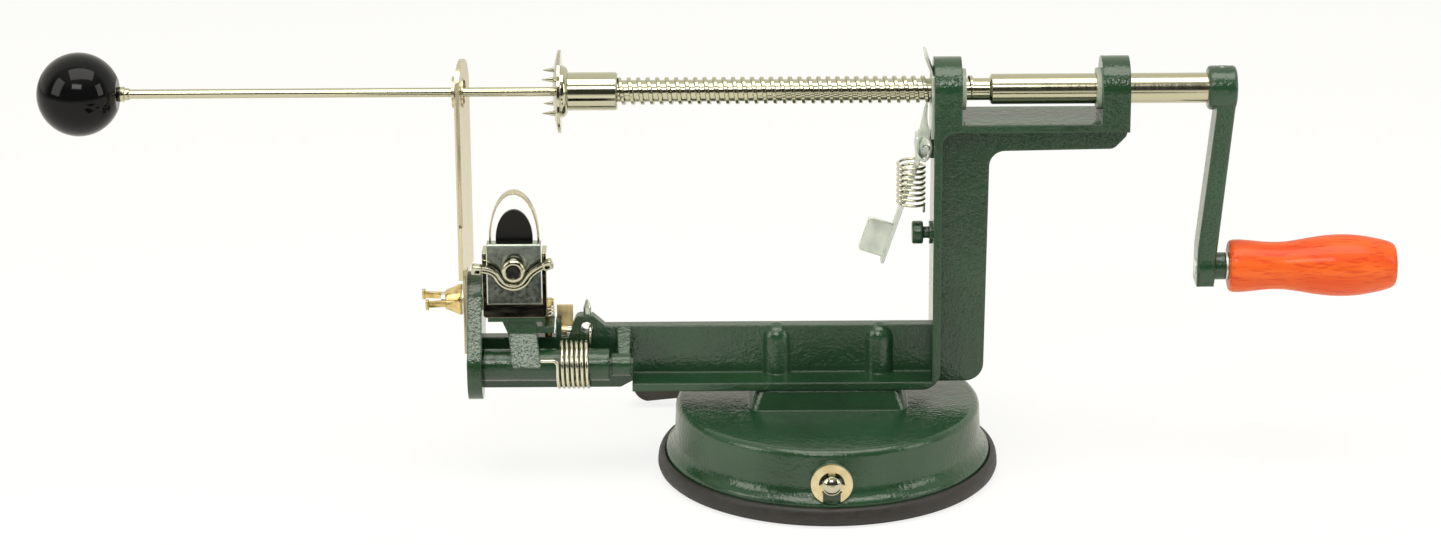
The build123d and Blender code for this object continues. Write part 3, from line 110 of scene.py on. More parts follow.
class CutterSizes(bpy.types.PropertyGroup):
    """Sizes of the pieces that are modelled here."""
    thread_pitch: length("Thread pitch", "Travel of the feed thread in one turn", 3.0)
    thread_crest: length("Thread crest diameter", "Across the feed thread's crests", 8.7)
    thread_root: length("Thread root diameter", "Across the feed thread's roots", 7.0)
    edge_softness: length("Edge softness", "Radius that enamel gives the castings' edges", 0.9)


# ---------------------------------------------------------------- modelling


def activate(piece):
    """Leaves one object selected and active."""
    bpy.ops.object.select_all(action="DESELECT")
    piece.select_set(True)
    bpy.context.view_layer.objects.active = piece
    return piece


def begin_point(name, place):
    """A new mesh of one vertex, left open in edit mode with that vertex selected."""
    bpy.ops.object.select_all(action="DESELECT")
    bpy.ops.mesh.primitive_plane_add(size=MM, location=(0, 0, 0))
    piece = bpy.context.object
    piece.name = piece.data.name = name
    bpy.ops.object.mode_set(mode="EDIT")
    bpy.ops.mesh.select_mode(type="VERT")
    bpy.ops.mesh.select_all(action="SELECT")
    bpy.ops.mesh.merge(type="CENTER")
    bpy.ops.transform.translate(value=place)
    return piece


def draw_line(points):
    """Extrudes the selected vertex from point to point."""
    for here, there in zip(points, points[1:]):
        step = Vector(there) - Vector(here)
        bpy.ops.mesh.extrude_vertices_move(TRANSFORM_OT_translate={"value": step})


def close_mesh(merge=0.00001):
    """Merges doubles, makes all faces point out and leaves edit mode."""
    bpy.ops.mesh.select_all(action="SELECT")
    bpy.ops.mesh.remove_doubles(threshold=merge)
    bpy.ops.mesh.normals_make_consistent(inside=False)
    bpy.ops.object.mode_set(mode="OBJECT")


def lathe(name, outline, centre, steps=96, along="X"):
    """Turns (place along the axis, radius) points, in millimetres, about an axis through centre."""
    a, b = centre
    if along == "X":
        points, middle, axis = [(x * MM, a, b + r * MM) for x, r in outline], (0, a, b), (1, 0, 0)
    elif along == "Y":
        points, middle, axis = [(a, y * MM, b + r * MM) for y, r in outline], (a, 0, b), (0, 1, 0)
    else:
        points, middle, axis = [(a + r * MM, b, z * MM) for z, r in outline], (a, b, 0), (0, 0, 1)
    piece = begin_point(name, points[0])
    draw_line(points)
    bpy.ops.mesh.select_all(action="SELECT")
    bpy.ops.mesh.spin(steps=steps, angle=2 * math.pi, center=middle, axis=axis)
    close_mesh()
    return piece


def through(points, steps):
    """A smooth line of points through given stations, so many steps between two of them."""
    stations = [Vector(point) for point in points]
    ends = [stations[0] * 2 - stations[1]] + stations + [stations[-1] * 2 - stations[-2]]
    line = []
    for before, here, there, after in zip(ends, ends[1:], ends[2:], ends[3:]):
        for step in range(steps):
            t = step / steps
            line.append(here + (there - before) * 0.5 * t
                        + (before - here * 2.5 + there * 2 - after * 0.5) * t * t
                        + (after - there * 3 + here * 3 - before) * 0.5 * t * t * t)
    return line + [stations[-1]]


def bend(start, heading, towards, radius, degrees=90):
    """Points of an arc that leaves start along heading and bends towards a direction."""
    side = (towards - heading * towards.dot(heading)).normalized()
    angles = [math.radians(degrees) * step / 8 for step in range(9)]
    return [start + side * (radius * (1 - math.cos(a))) + heading * (radius * math.sin(a)) for a in angles]


def wound_wire(name, points, wire_d):
    """Round wire of a diameter along points, in millimetres, with closed ends."""
    piece = begin_point(name, points[0] * MM)
    draw_line([point * MM for point in points])
    bpy.ops.object.mode_set(mode="OBJECT")
    activate(piece)
    bpy.ops.object.convert(target="CURVE")
    wire = bpy.context.object
    wire.data.bevel_depth = wire_d / 2 * MM
    wire.data.bevel_resolution = 3
    wire.data.use_fill_caps = True
    bpy.ops.object.convert(target="MESH")
    bpy.ops.object.mode_set(mode="EDIT")
    close_mesh()
    smooth(wire, 60)
    return wire


def ribbon(name, points, depth, thickness):
    """A strap along points, in millimetres, drawn out by depth and given its thickness."""
    piece = begin_point(name, Vector(points[0]) * MM)
    draw_line([Vector(point) * MM for point in points])
    bpy.ops.mesh.select_all(action="SELECT")
    bpy.ops.mesh.extrude_region_move(TRANSFORM_OT_translate={"value": Vector(depth) * MM})
    close_mesh()
    apply_modifier(piece, "SOLIDIFY", thickness=thickness * MM, offset=0)
    apply_modifier(piece, "BEVEL", width=0.3 * MM, segments=2, limit_method="ANGLE",
                   angle_limit=math.radians(50))
    return piece


def plate_outline(name, points, normal, thickness, edge):
    """A plate with an outline of points, in millimetres, spread evenly along its normal, with soft edges."""
    normal = Vector(normal)
    piece = begin_point(name, (Vector(points[0]) - normal * thickness / 2) * MM)
    draw_line([(Vector(point) - normal * thickness / 2) * MM for point in points + points[:1]])
    bpy.ops.mesh.select_all(action="SELECT")
    bpy.ops.mesh.remove_doubles(threshold=0.00001)
    bpy.ops.mesh.edge_face_add()
    bpy.ops.mesh.extrude_region_move(TRANSFORM_OT_translate={"value": normal * thickness * MM})
    close_mesh()
    if edge:
        apply_modifier(piece, "BEVEL", width=edge * MM, segments=3, limit_method="ANGLE",
                       angle_limit=math.radians(50))
    return piece


def rounded_block(name, size, place, edge, lean=0):
    """A block with soft edges, turned by lean degrees about the front-to-back line through its middle."""
    bpy.ops.object.select_all(action="DESELECT")
    bpy.ops.mesh.primitive_cube_add(size=1, location=Vector(place) * MM, rotation=(0, -math.radians(lean), 0))
    piece = bpy.context.object
    piece.name = name
    piece.scale = Vector(size) * MM
    bpy.ops.object.transform_apply(location=True, rotation=True, scale=True)
    apply_modifier(piece, "BEVEL", width=edge * MM, segments=4)
    return piece


def join_solids(piece, tool, operation="UNION"):
    """Joins a second solid to the first, or cuts it away, and deletes it."""
    apply_modifier(piece, "BOOLEAN", object=tool, operation=operation, solver="EXACT")
    bpy.data.objects.remove(tool)
    return piece


def select_edges(piece, wanted):
    """In edit mode, selects only the edges whose two ends pass a test."""
    bpy.ops.mesh.select_mode(type="EDGE")
    bpy.ops.mesh.select_all(action="DESELECT")
    bpy.ops.object.mode_set(mode="OBJECT")
    corners = piece.data.vertices
    for edge in piece.data.edges:
        edge.select = wanted(*(corners[i].co for i in edge.vertices))
    bpy.ops.object.mode_set(mode="EDIT")


def apply_modifier(piece, kind, **settings):
    """Adds a modifier with its settings and applies it."""
    activate(piece)
    made = piece.modifiers.new(kind.title(), kind)
    for name, value in settings.items():
        setattr(made, name, value)
    bpy.ops.object.modifier_apply(modifier=made.name)


def smooth(piece, degrees=35):
    """Smooth shading, with edges sharper than an angle kept crisp."""
    activate(piece)
    bpy.ops.object.shade_smooth_by_angle(angle=math.radians(degrees))


def select_vertices(piece, wanted):
    """In edit mode, selects only the vertices whose place passes a test."""
    bpy.ops.mesh.select_mode(type="VERT")
    bpy.ops.mesh.select_all(action="DESELECT")
    bpy.ops.object.mode_set(mode="OBJECT")
    for vertex in piece.data.vertices:
        vertex.select = wanted(vertex.co)
    bpy.ops.object.mode_set(mode="EDIT")


def finish_piece(piece, body, material, replaced=()):
    """Puts the place into the mesh, gives the finish and lets the piece ride on its body, if it has one."""
    activate(piece)
    bpy.ops.object.transform_apply(location=True, rotation=True, scale=True)
    piece.data.materials.clear()
    piece.data.materials.append(material)
    if body:
        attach(piece, body)
    if replaced:
        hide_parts(*replaced)
    return piece


# ---------------------------------------------------------------- material nodes


def node(tree, kind, inputs=None, **settings):
    """Adds a node, with its settings, and its inputs linked or set."""
    made = tree.nodes.new(kind)
    for name, value in settings.items():
        setattr(made, name, value)
    for name, value in (inputs or {}).items():
        socket = made.inputs[name]
        if isinstance(value, bpy.types.NodeSocket):
            tree.links.new(value, socket)
        else:
            socket.default_value = value
    return made


def new_material(name):
    """An empty material: its tree and its surface shader."""
    material = bpy.data.materials.get(name)
    if material:
        return material, material.node_tree, None
    material = bpy.data.materials.new(name)
    material.use_nodes = True
    tree = material.node_tree
    return material, tree, tree.nodes["Principled BSDF"]


def grain(tree, millimetres, detail=2.0, stretch=(1, 1, 1), roughness=0.5):
    """Noise on object coordinates whose features are about so many millimetres across."""
    coords = node(tree, "ShaderNodeTexCoord").outputs["Object"]
    if stretch != (1, 1, 1):
        coords = node(tree, "ShaderNodeMapping", {"Vector": coords, "Scale": stretch}).outputs["Vector"]
    return node(tree, "ShaderNodeTexNoise", {
        "Vector": coords, "Scale": 1000 / millimetres, "Detail": detail,
        "Roughness": roughness}).outputs["Fac"]


def spread(tree, value, low, high, start=0.3, end=0.7):
    """Maps a 0 to 1 pattern between two numbers."""
    return node(tree, "ShaderNodeMapRange", {
        "Value": value, "From Min": start, "From Max": end, "To Min": low, "To Max": high}).outputs["Result"]


def blend_colours(tree, factor, first, second):
    """Mixes two colours by a factor."""
    mix = node(tree, "ShaderNodeMix", data_type="RGBA")
    tree.links.new(factor, mix.inputs[0])
    for socket, colour in ((mix.inputs[6], first), (mix.inputs[7], second)):
        if isinstance(colour, bpy.types.NodeSocket):
            tree.links.new(colour, socket)
        else:
            socket.default_value = (*colour, 1)
    return mix.outputs[2]


def relief(tree, height, millimetres, strength=1.0, edge=0.0):
    """Bump of so many millimetres, over softened edges where edge gives their radius."""
    inputs = {"Height": height, "Distance": millimetres * MM, "Strength": strength}
    if edge:
        inputs["Normal"] = node(tree, "ShaderNodeBevel", {"Radius": edge}, samples=4).outputs["Normal"]
    return node(tree, "ShaderNodeBump", inputs).outputs["Normal"]


def shade(tree, shader, **inputs):
    """Sets or links the surface shader's inputs, with _ for a space in their names."""
    for name, value in inputs.items():
        socket = shader.inputs[name.replace("_", " ")]
        if isinstance(value, bpy.types.NodeSocket):
            tree.links.new(value, socket)
        elif socket.type == "RGBA":
            socket.default_value = (*value, 1)
        else:
            socket.default_value = value


# ---------------------------------------------------------------- finishes


def enamelled_casting():
    """Grey iron under a thick coat of gloss green enamel: it levels into an orange peel and rounds edges."""
    material, tree, shader = new_material("enamelled_cast_iron")
    if shader:
        look = bpy.context.scene.cutter_finishes
        sizes = bpy.context.scene.cutter_sizes
        green = tuple(look.enamel)
        deep = tuple(c * 0.78 for c in green)
        pale = tuple(c * 1.2 for c in green)
        clouds = spread(tree, grain(tree, 26, 3), 0, 1)
        colour = blend_colours(tree, clouds, deep, pale)
        peel = grain(tree, 0.9, 2)
        ripple = grain(tree, 3.2, 2)
        height = node(tree, "ShaderNodeMath", {0: peel, 1: ripple}, operation="ADD").outputs[0]
        shade(tree, shader, Base_Color=colour, Roughness=spread(tree, grain(tree, 9, 2), 0.09, 0.16),
              IOR=1.55, Normal=relief(tree, height, 0.14, 0.9, sizes.edge_softness))
    return material


def chrome_plate():
    """Steel polished and plated with chromium: a mirror with a faint warm cast and hairline wipe marks."""
    material, tree, shader = new_material("chromium_plated_steel")
    if shader:
        wipe = grain(tree, 1.2, 3, stretch=(0.2, 1, 1))
        shade(tree, shader, Base_Color=linear("#B9B6A0"), Metallic=1.0,
              Roughness=spread(tree, wipe, 0.05, 0.13), Normal=relief(tree, wipe, 0.004, 0.5, 0.25 * MM))
    return material


def satin_plate():
    """Pressed sheet under a thin dull nickel plate: soft grey reflections, faint clouds and rub marks."""
    material, tree, shader = new_material("dull_nickel_plate")
    if shader:
        cloud = grain(tree, 5, 3)
        rubs = grain(tree, 1.4, 2)
        colour = blend_colours(tree, spread(tree, cloud, 0, 1), linear("#8B938C"), linear("#A9B0A8"))
        shade(tree, shader, Base_Color=colour, Metallic=1.0, Roughness=spread(tree, rubs, 0.14, 0.22),
              Normal=relief(tree, cloud, 0.05, 0.5, 0.4 * MM))
    return material


def bright_shaft_steel():
    """Ground and polished round bar: fine rings round the axis from the grinding wheel."""
    material, tree, shader = new_material("ground_bright_steel")
    if shader:
        rings = grain(tree, 0.5, 2, stretch=(1, 0.05, 0.05))
        shade(tree, shader, Base_Color=linear("#B8B49C"), Metallic=1.0,
              Roughness=spread(tree, rings, 0.09, 0.2), Normal=relief(tree, rings, 0.004, 0.6, 0.15 * MM))
    return material


def spring_wire():
    """Hard-drawn wire: bright, with die lines along it too fine to show, drawn as soft mottling."""
    material, tree, shader = new_material("drawn_spring_wire")
    if shader:
        mottle = grain(tree, 0.9, 2)
        shade(tree, shader, Base_Color=linear("#D2CEBA"), Metallic=1.0, Roughness=spread(tree, mottle, 0.12,
                                                                                         0.24))
    return material


def zinc_plate():
    """Pressed steel, barrel plated with zinc and passivated: satin, bluish white, lightly cloudy."""
    material, tree, shader = new_material("zinc_plated_steel")
    if shader:
        cloud = grain(tree, 4, 4)
        colour = blend_colours(tree, spread(tree, cloud, 0, 1), linear("#C9D3CC"), linear("#E1E6DC"))
        shade(tree, shader, Base_Color=colour, Metallic=1.0, Roughness=spread(tree, cloud, 0.28, 0.42),
              Normal=relief(tree, grain(tree, 0.5), 0.005, 0.6, 0.2 * MM))
    return material


def blade_steel():
    """Stainless strip, ground along its length: streaks up the blade over a bright satin."""
    material, tree, shader = new_material("ground_stainless_strip")
    if shader:
        streaks = grain(tree, 0.7, 3, stretch=(1, 1, 0.04))
        colour = blend_colours(tree, spread(tree, streaks, 0, 1), linear("#B5AB8C"), linear("#D9D0B4"))
        shade(tree, shader, Base_Color=colour, Metallic=1.0, Roughness=spread(tree, streaks, 0.16, 0.32),
              Normal=relief(tree, streaks, 0.01, 0.6, 0.12 * MM))
    return material


def blued_steel():
    """Spring strip blackened in hot salts: near black with a low sheen."""
    material, tree, shader = new_material("blackened_steel")
    if shader:
        cloud = grain(tree, 3, 3)
        shade(tree, shader, Base_Color=linear("#1B1A18"), Metallic=0.6, Roughness=spread(tree, cloud, 0.3,
                                                                                         0.45),
              Normal=relief(tree, cloud, 0.006, 0.5, 0.15 * MM))
    return material


def passivated_zinc():
    """Sheet plated with zinc and passivated in yellow chromate: a pale straw tan, satin."""
    material, tree, shader = new_material("yellow_passivated_zinc")
    if shader:
        cloud = grain(tree, 3, 3)
        colour = blend_colours(tree, spread(tree, cloud, 0, 1), linear("#CDB98B"), linear("#E3D5AE"))
        shade(tree, shader, Base_Color=colour, Metallic=0.85, Roughness=spread(tree, cloud, 0.28, 0.42))
    return material


def yellow_brass():
    """Cast and tumbled brass: warm yellow, a little darker in its hollows."""
    material, tree, shader = new_material("tumbled_brass")
    if shader:
        cloud = grain(tree, 2.5, 3)
        colour = blend_colours(tree, spread(tree, cloud, 0, 1), linear("#B79A5C"), linear("#E4CF97"))
        shade(tree, shader, Base_Color=colour, Metallic=1.0, Roughness=spread(tree, cloud, 0.16, 0.32),
              Normal=relief(tree, grain(tree, 0.6), 0.01, 0.6, 0.3 * MM))
    return material


def black_phenolic():
    """Phenolic resin ball, compression moulded and buffed: deep black, mirror gloss, almost no texture."""
    material, tree, shader = new_material("buffed_phenolic")
    if shader:
        shade(tree, shader, Base_Color=tuple(bpy.context.scene.cutter_finishes.ball),
              Roughness=spread(tree, grain(tree, 3, 2), 0.05, 0.1), IOR=1.45, Specular_IOR_Level=0.2,
              Normal=relief(tree, grain(tree, 7, 1), 0.015, 0.4))
    return material


def stained_beech():
    """Turned beech, stained orange under gloss lacquer: long pores along the grain, flecks across it."""
    material, tree, shader = new_material("stained_lacquered_beech")
    if shader:
        stain = tuple(bpy.context.scene.cutter_finishes.grip)
        red = (stain[0] * 0.82, stain[1] * 0.5, stain[2] * 0.45)
        light = (min(1, stain[0] * 1.12), stain[1] * 2.0, stain[2] * 3.0)
        pores = grain(tree, 0.8, 3, stretch=(0.07, 1, 1))
        bands = grain(tree, 5, 2, stretch=(0.12, 1, 1))
        body = blend_colours(tree, spread(tree, bands, 0, 1, 0.35, 0.65), stain, light)
        colour = blend_colours(tree, spread(tree, pores, 0, 0.75, 0.52, 0.68), body, red)
        shade(tree, shader, Base_Color=colour, Roughness=0.5, Specular_IOR_Level=0.2,
              Coat_Weight=0.28, Coat_Roughness=0.12,
              Normal=relief(tree, pores, 0.02, 0.35))
    return material


def black_rubber():
    """Nitrile rubber, moulded: brown black, matte, with a bloom of talc dust in its pores."""
    material, tree, shader = new_material("moulded_nitrile_rubber")
    if shader:
        pad = tuple(bpy.context.scene.cutter_finishes.pad)
        dusty = tuple(c * 1.7 + 0.004 for c in pad)
        dust = grain(tree, 2.2, 4)
        shade(tree, shader, Base_Color=blend_colours(tree, spread(tree, dust, 0, 1, 0.45, 0.75), pad, dusty),
              Roughness=spread(tree, dust, 0.42, 0.6), Normal=relief(tree, grain(tree, 0.8, 2), 0.02, 0.6,
                                                                     0.6 * MM))
    return material


def acetal():
    """Acetal bush, injection moulded: grey green, waxy satin."""
    material, tree, shader = new_material("moulded_acetal")
    if shader:
        shade(tree, shader, Base_Color=linear("#9BA796"), Roughness=spread(tree, grain(tree, 1.5, 2), 0.35,
                                                                           0.45),
              Subsurface_Weight=0.1, Subsurface_Scale=1.5 * MM, Normal=relief(tree, grain(tree, 0.8), 0.01,
                                                                              0.5, 0.3 * MM))
    return material


def black_lacquer():
    """Pressed steel dipped in black lacquer: dark brown black, uneven satin."""
    material, tree, shader = new_material("dipped_black_lacquer")
    if shader:
        cloud = grain(tree, 5, 3)
        colour = blend_colours(tree, spread(tree, cloud, 0, 1), linear("#2A2420"), linear("#3B332C"))
        shade(tree, shader, Base_Color=colour, Roughness=spread(tree, cloud, 0.3, 0.45),
              Normal=relief(tree, cloud, 0.03, 0.5, 0.6 * MM))
    return material


def finishes_by_node():
    """Which finish each CAD node has."""
    table = {}
    groups = (
        (enamelled_casting(), "frame_casting base_housing crank_arm peeler_arm anchor_knob pivot_rod"),
        (black_rubber(), "suction_pad"),
        (zinc_plate(), "suction_stem base_screws holder_screw lever_pin catch_rod spring_post "
                       "crank_pin handle_rod handle_washer slicer_washer slicer_bolt feed_lever guide_plate"),
        (yellow_brass(), "stop_screw slicer_wing_nut"),
        (black_lacquer(), "suction_lever"),
        (acetal(), "front_bush rear_bush"),
        (chrome_plate(), "fork_disc blade_holder clamp_bolt clamp_wing_nut cam_axle"),
        (satin_plate(), "blade_clamp"),
        (bright_shaft_steel(), "drive_shaft skewer_rod skewer_ferrule"),
        (spring_wire(), "torsion_spring feed_spring stop_spring"),
        (blade_steel(), "slicer_blade peeling_blade"),
        (blued_steel(), "depth_guide"),
        (passivated_zinc(), "arm_catch e_clip"),
        (black_phenolic(), "ball_handle"),
        (stained_beech(), "handle_grip"),
    )
    for material, names in groups:
        for name in names.split():
            table[name] = material
    return table


# ---------------------------------------------------------------- operators


class CUTTER_OT_finishes(bpy.types.Operator):
    """Gives every CAD piece its finish"""
    bl_idname = "cutter.finishes"
    bl_label = "Finish the CAD pieces"

    def execute(self, context):
        for name, material in finishes_by_node().items():
            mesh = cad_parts[name].data
            mesh.materials.clear()
            mesh.materials.append(material)
        return {"FINISHED"}


class CUTTER_OT_feed_shaft(bpy.types.Operator):
    """Models the drive shaft with its true feed thread, neck and smooth stretch"""
    bl_idname = "cutter.feed_shaft"
    bl_label = "Drive shaft"

    def execute(self, context):
        sizes = context.scene.cutter_sizes
        crest, root, pitch = sizes.thread_crest / 2, sizes.thread_root / 2, sizes.thread_pitch
        thread_from, thread_to = -66.8 * MM, 45.5 * MM
        neck_to = 51.2 * MM
        # one pitch of the thread's outline, wound and cut off square at both ends
        start = thread_from - pitch
        flank, land = 0.28 * MM, 0.95 * MM
        outline = [(0, root), (flank, crest), (flank + land, crest), (2 * flank + land, root), (pitch, root)]
        points = [(start + x, 0, r) for x, r in outline]
        thread = begin_point("threaded_shaft", points[0])
        draw_line(points)
        bpy.ops.object.mode_set(mode="OBJECT")
        turns = math.ceil((thread_to - start) / pitch) + 1
        apply_modifier(thread, "SCREW", axis="X", angle=2 * math.pi, screw_offset=pitch, iterations=turns,
                       steps=48, render_steps=48, use_merge_vertices=True, merge_threshold=0.001 * MM)
        bpy.ops.object.mode_set(mode="EDIT")
        for x, inner in ((thread_from, True), (thread_to, False)):
            bpy.ops.mesh.select_all(action="SELECT")
            bpy.ops.mesh.bisect(plane_co=(x, 0, 0), plane_no=(1, 0, 0), use_fill=True,
                                clear_inner=inner, clear_outer=not inner)
        bpy.ops.mesh.select_all(action="SELECT")
        bpy.ops.transform.translate(value=(0, 0, SHAFT_Z))
        close_mesh()
        smooth(thread, 30)
        finish_piece(thread, "shaft", chrome_plate(), ["drive_shaft"])
        # plain stretches: the neck, the ground bar with a small lead-in, the end in the hub
        bar, neck = SHAFT_D / 2 / MM, root / MM
        hub_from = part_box("crank_arm")[0].x / MM + 1.8
        end = SHAFT_HIGH.x / MM
        profile = [(thread_to / MM - 0.2, 0), (thread_to / MM - 0.2, neck), (neck_to / MM - 0.4, neck),
                   (neck_to / MM, neck + 0.3), (neck_to / MM, bar - 0.5), (neck_to / MM + 0.5, bar),
                   (hub_from, bar), (hub_from, neck), (end - 0.4, neck), (end, neck - 0.4), (end, 0)]
        plain = lathe("ground_shaft", profile, (0, SHAFT_Z))
        smooth(plain)
        finish_piece(plain, "shaft", bright_shaft_steel())
        return {"FINISHED"}


class CUTTER_OT_base(bpy.types.Operator):
    """Models the suction base: the smooth cast cover with its pedestal, and the rubber pad"""
    bl_idname = "cutter.base"
    bl_label = "Suction base"

    def execute(self, context):
        self.pad()
        self.cover()
        return {"FINISHED"}

    def pad(self):
        rim = (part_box("suction_pad")[1].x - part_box("suction_pad")[0].x) / 2 / MM
        rim_low, rim_high = 0.0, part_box("suction_pad")[1].z / MM
        lip, seat = 52.8, 4.6
        outline = [(rim_low, 0), (rim_low, rim - 2.0), (0.25, rim - 1.1), (0.9, rim - 0.4), (1.9, rim), (3.2,
                                                                                                         rim - 0.05),
                   (4.5, rim - 0.25), (rim_high - 0.7, rim - 0.55), (rim_high - 0.25, rim - 0.85),
                   (rim_high, rim - 1.3), (rim_high, lip + 0.2), (rim_high - 0.2, lip), (seat, lip), (seat,
                                                                                                      45.4),
                   (2.6, 42.4), (2.6, 7.5), (4.4, 6.5), (4.4, 0)]
        pad = lathe("rubber_pad", outline, (0, 0), 160, "Z")
        smooth(pad, 40)
        finish_piece(pad, "frame", black_rubber(), ["suction_pad"])

    def cover(self):
        low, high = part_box("base_housing")
        bead = (high.x - low.x) / 2 / MM
        foot, top, shoulder = low.z / MM, 23.4, 2.4
        wall = 49.2
        inner = wall - 2.6
        arc = [(top - shoulder * (1 - math.cos(a)), wall - shoulder * (1 - math.sin(a)))
               for a in (math.radians(d) for d in range(0, 91, 15))]
        cove = [(foot + 7.4, wall + 0.4), (foot + 6.0, wall + 0.6), (foot + 4.8, wall + 1.1),
                (foot + 3.8, wall + 1.8), (foot + 3.1, wall + 2.7), (foot + 2.7, bead - 0.2)]
        outline = ([(top, 0)] + arc + cove
                   + [(foot + 2.1, bead), (foot + 0.3, bead), (foot, bead - 0.3), (foot, bead - 2.6),
                      (foot + 5.4, inner + 0.4), (top - 3.6, inner), (top - 2.6, inner - 1), (top - 2.6, 0)])
        drum = lathe("cast_cover", outline, (0, 0), 160, "Z")
        # pedestal under the frame: a block with four round corners that narrows as it rises
        seat_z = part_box("base_housing")[1].z
        foot_z = (top - 0.6) * MM
        bpy.ops.object.select_all(action="DESELECT")
        bpy.ops.mesh.primitive_cube_add(size=1, location=(0, 0, (foot_z + seat_z) / 2))
        pedestal = bpy.context.object
        pedestal.scale = (51.6 * MM, 27.0 * MM, seat_z - foot_z)
        bpy.ops.object.transform_apply(location=True, rotation=True, scale=True)
        bpy.ops.object.mode_set(mode="EDIT")
        select_vertices(pedestal, lambda place: place.z > seat_z - MM)
        bpy.ops.transform.resize(value=(46.6 / 51.6, 24.0 / 27.0, 1), center_override=(0, 0, seat_z))
        select_edges(pedestal, lambda a, b: abs(a.z - b.z) > 3 * MM)
        bpy.ops.mesh.bevel(offset=4 * MM, segments=8, affect="EDGES")
        select_edges(pedestal, lambda a, b: min(a.z, b.z) > seat_z - 0.1 * MM)
        bpy.ops.mesh.bevel(offset=0.5 * MM, segments=3, affect="EDGES")
        close_mesh()
        join_solids(drum, pedestal)
        # round bosses for the axle, faced off square in front of the flare
        face = (abs(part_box("e_clip")[0].y) / MM) - 1.0
        for side in (-1, 1):
            boss = lathe("axle_boss", [(side * 40, 0), (side * 40, 6.9), (side * (face - 0.3), 6.9),
                                       (side * face, 6.6), (side * face, 0)], (0, AXLE_Z), 64, "Y")
            join_solids(drum, boss)
            recess = lathe("boss_recess", [(side * face, 0), (side * face, 6.9), (side * 60, 6.9),
                                           (side * 60, 0)],
                           (0, AXLE_Z), 64, "Y")
            join_solids(drum, recess, "DIFFERENCE")
        bore = lathe("axle_bore", [(-60, 0), (-60, 3.15), (60, 3.15), (60, 0)], (0, AXLE_Z), 48, "Y")
        join_solids(drum, bore, "DIFFERENCE")
        for side in (-1, 1):
            hole = lathe("screw_hole", [(10, 0), (10, 2.1), (40, 2.1), (40, 0)], (side * 16.5 * MM, 0), 32,
                         "Z")
            join_solids(drum, hole, "DIFFERENCE")
        smooth(drum, 32)
        finish_piece(drum, "frame", enamelled_casting(), ["base_housing"])


class CUTTER_OT_springs(bpy.types.Operator):
    """Winds the torsion spring, the feed spring and the stop screw's spring"""
    bl_idname = "cutter.springs"
    bl_label = "Springs"

    def execute(self, context):
        self.torsion()
        self.feed()
        self.stop()
        return {"FINISHED"}

    def torsion(self):
        mean, pitch, turns, wire_d, left = 14.6, 1.56, 7, 1.14, -86.7
        y, z = PIVOT.y / MM, PIVOT.z / MM
        radius = mean / 2
        hook_z, arm_x = 48.4, -97.4 + 9.2 / 2 + 0.85

        def place(angle):
            return Vector((left + pitch * (angle - math.pi) / (2 * math.pi),
                           y + radius * math.cos(angle), z + radius * math.sin(angle)))

        coil = [place(math.pi + step * (2 * turns - 1) * math.pi / 234) for step in range(235)]
        start, end = coil[0], coil[-1]
        knee = start + Vector((0, 0, 2.2))
        left_leg = bend(knee, Vector((0, 0, 1)), Vector((-1, 0, 0)), 1.6)
        tip = Vector((arm_x, left_leg[-1].y, left_leg[-1].z))
        top = end + Vector((0, 0, hook_z - z - 1.5))
        hook = bend(top, Vector((0, 0, 1)), Vector((0, 1, 0)), 1.5)
        points = [tip] + left_leg[::-1] + coil + [top] + hook[1:] + [hook[-1] + Vector((0, 5.4, 0))]
        spring = wound_wire("torsion_wire", points, wire_d)
        finish_piece(spring, None, spring_wire(), ["torsion_spring"])
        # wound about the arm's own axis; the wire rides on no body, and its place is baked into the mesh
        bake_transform(spring)

    def feed(self):
        mean, pitch, turns, wire_d, top, x = 8.6, 1.76, 8, 0.85, 103.2, 26.4
        radius = mean / 2

        def place(angle):
            return Vector((x + radius * math.cos(angle), radius * math.sin(angle),
                           top - pitch * angle / (2 * math.pi)))

        coil = [place(step * 2 * turns * math.pi / 256) for step in range(257)]
        last = coil[-1]
        drop = bend(last, Vector((0, 1, 0)), Vector((0, 0, -1)), 1.6, 78)
        heading = (drop[-1] - drop[-2]).normalized()
        points = coil + drop[1:] + [drop[-1] + heading * 2.4]
        spring = wound_wire("feed_wire", points, wire_d)
        finish_piece(spring, None, spring_wire(), ["feed_spring"])
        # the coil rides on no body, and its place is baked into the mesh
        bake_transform(spring)

    def stop(self):
        low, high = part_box("stop_spring")
        wire_d, mean, pitch, turns = 0.6, 3.9, 1.15, 3
        x, y = (low.x + high.x) / 2 / MM, (low.y + high.y) / 2 / MM
        z0 = low.z / MM + wire_d / 2
        points = [Vector((x + mean / 2 * math.cos(a), y + mean / 2 * math.sin(a),
                          z0 + pitch * a / (2 * math.pi)))
                  for a in (step * 2 * turns * math.pi / 72 for step in range(73))]
        spring = wound_wire("stop_wire", points, wire_d)
        finish_piece(spring, "peeling_arm", spring_wire(), ["stop_spring"])


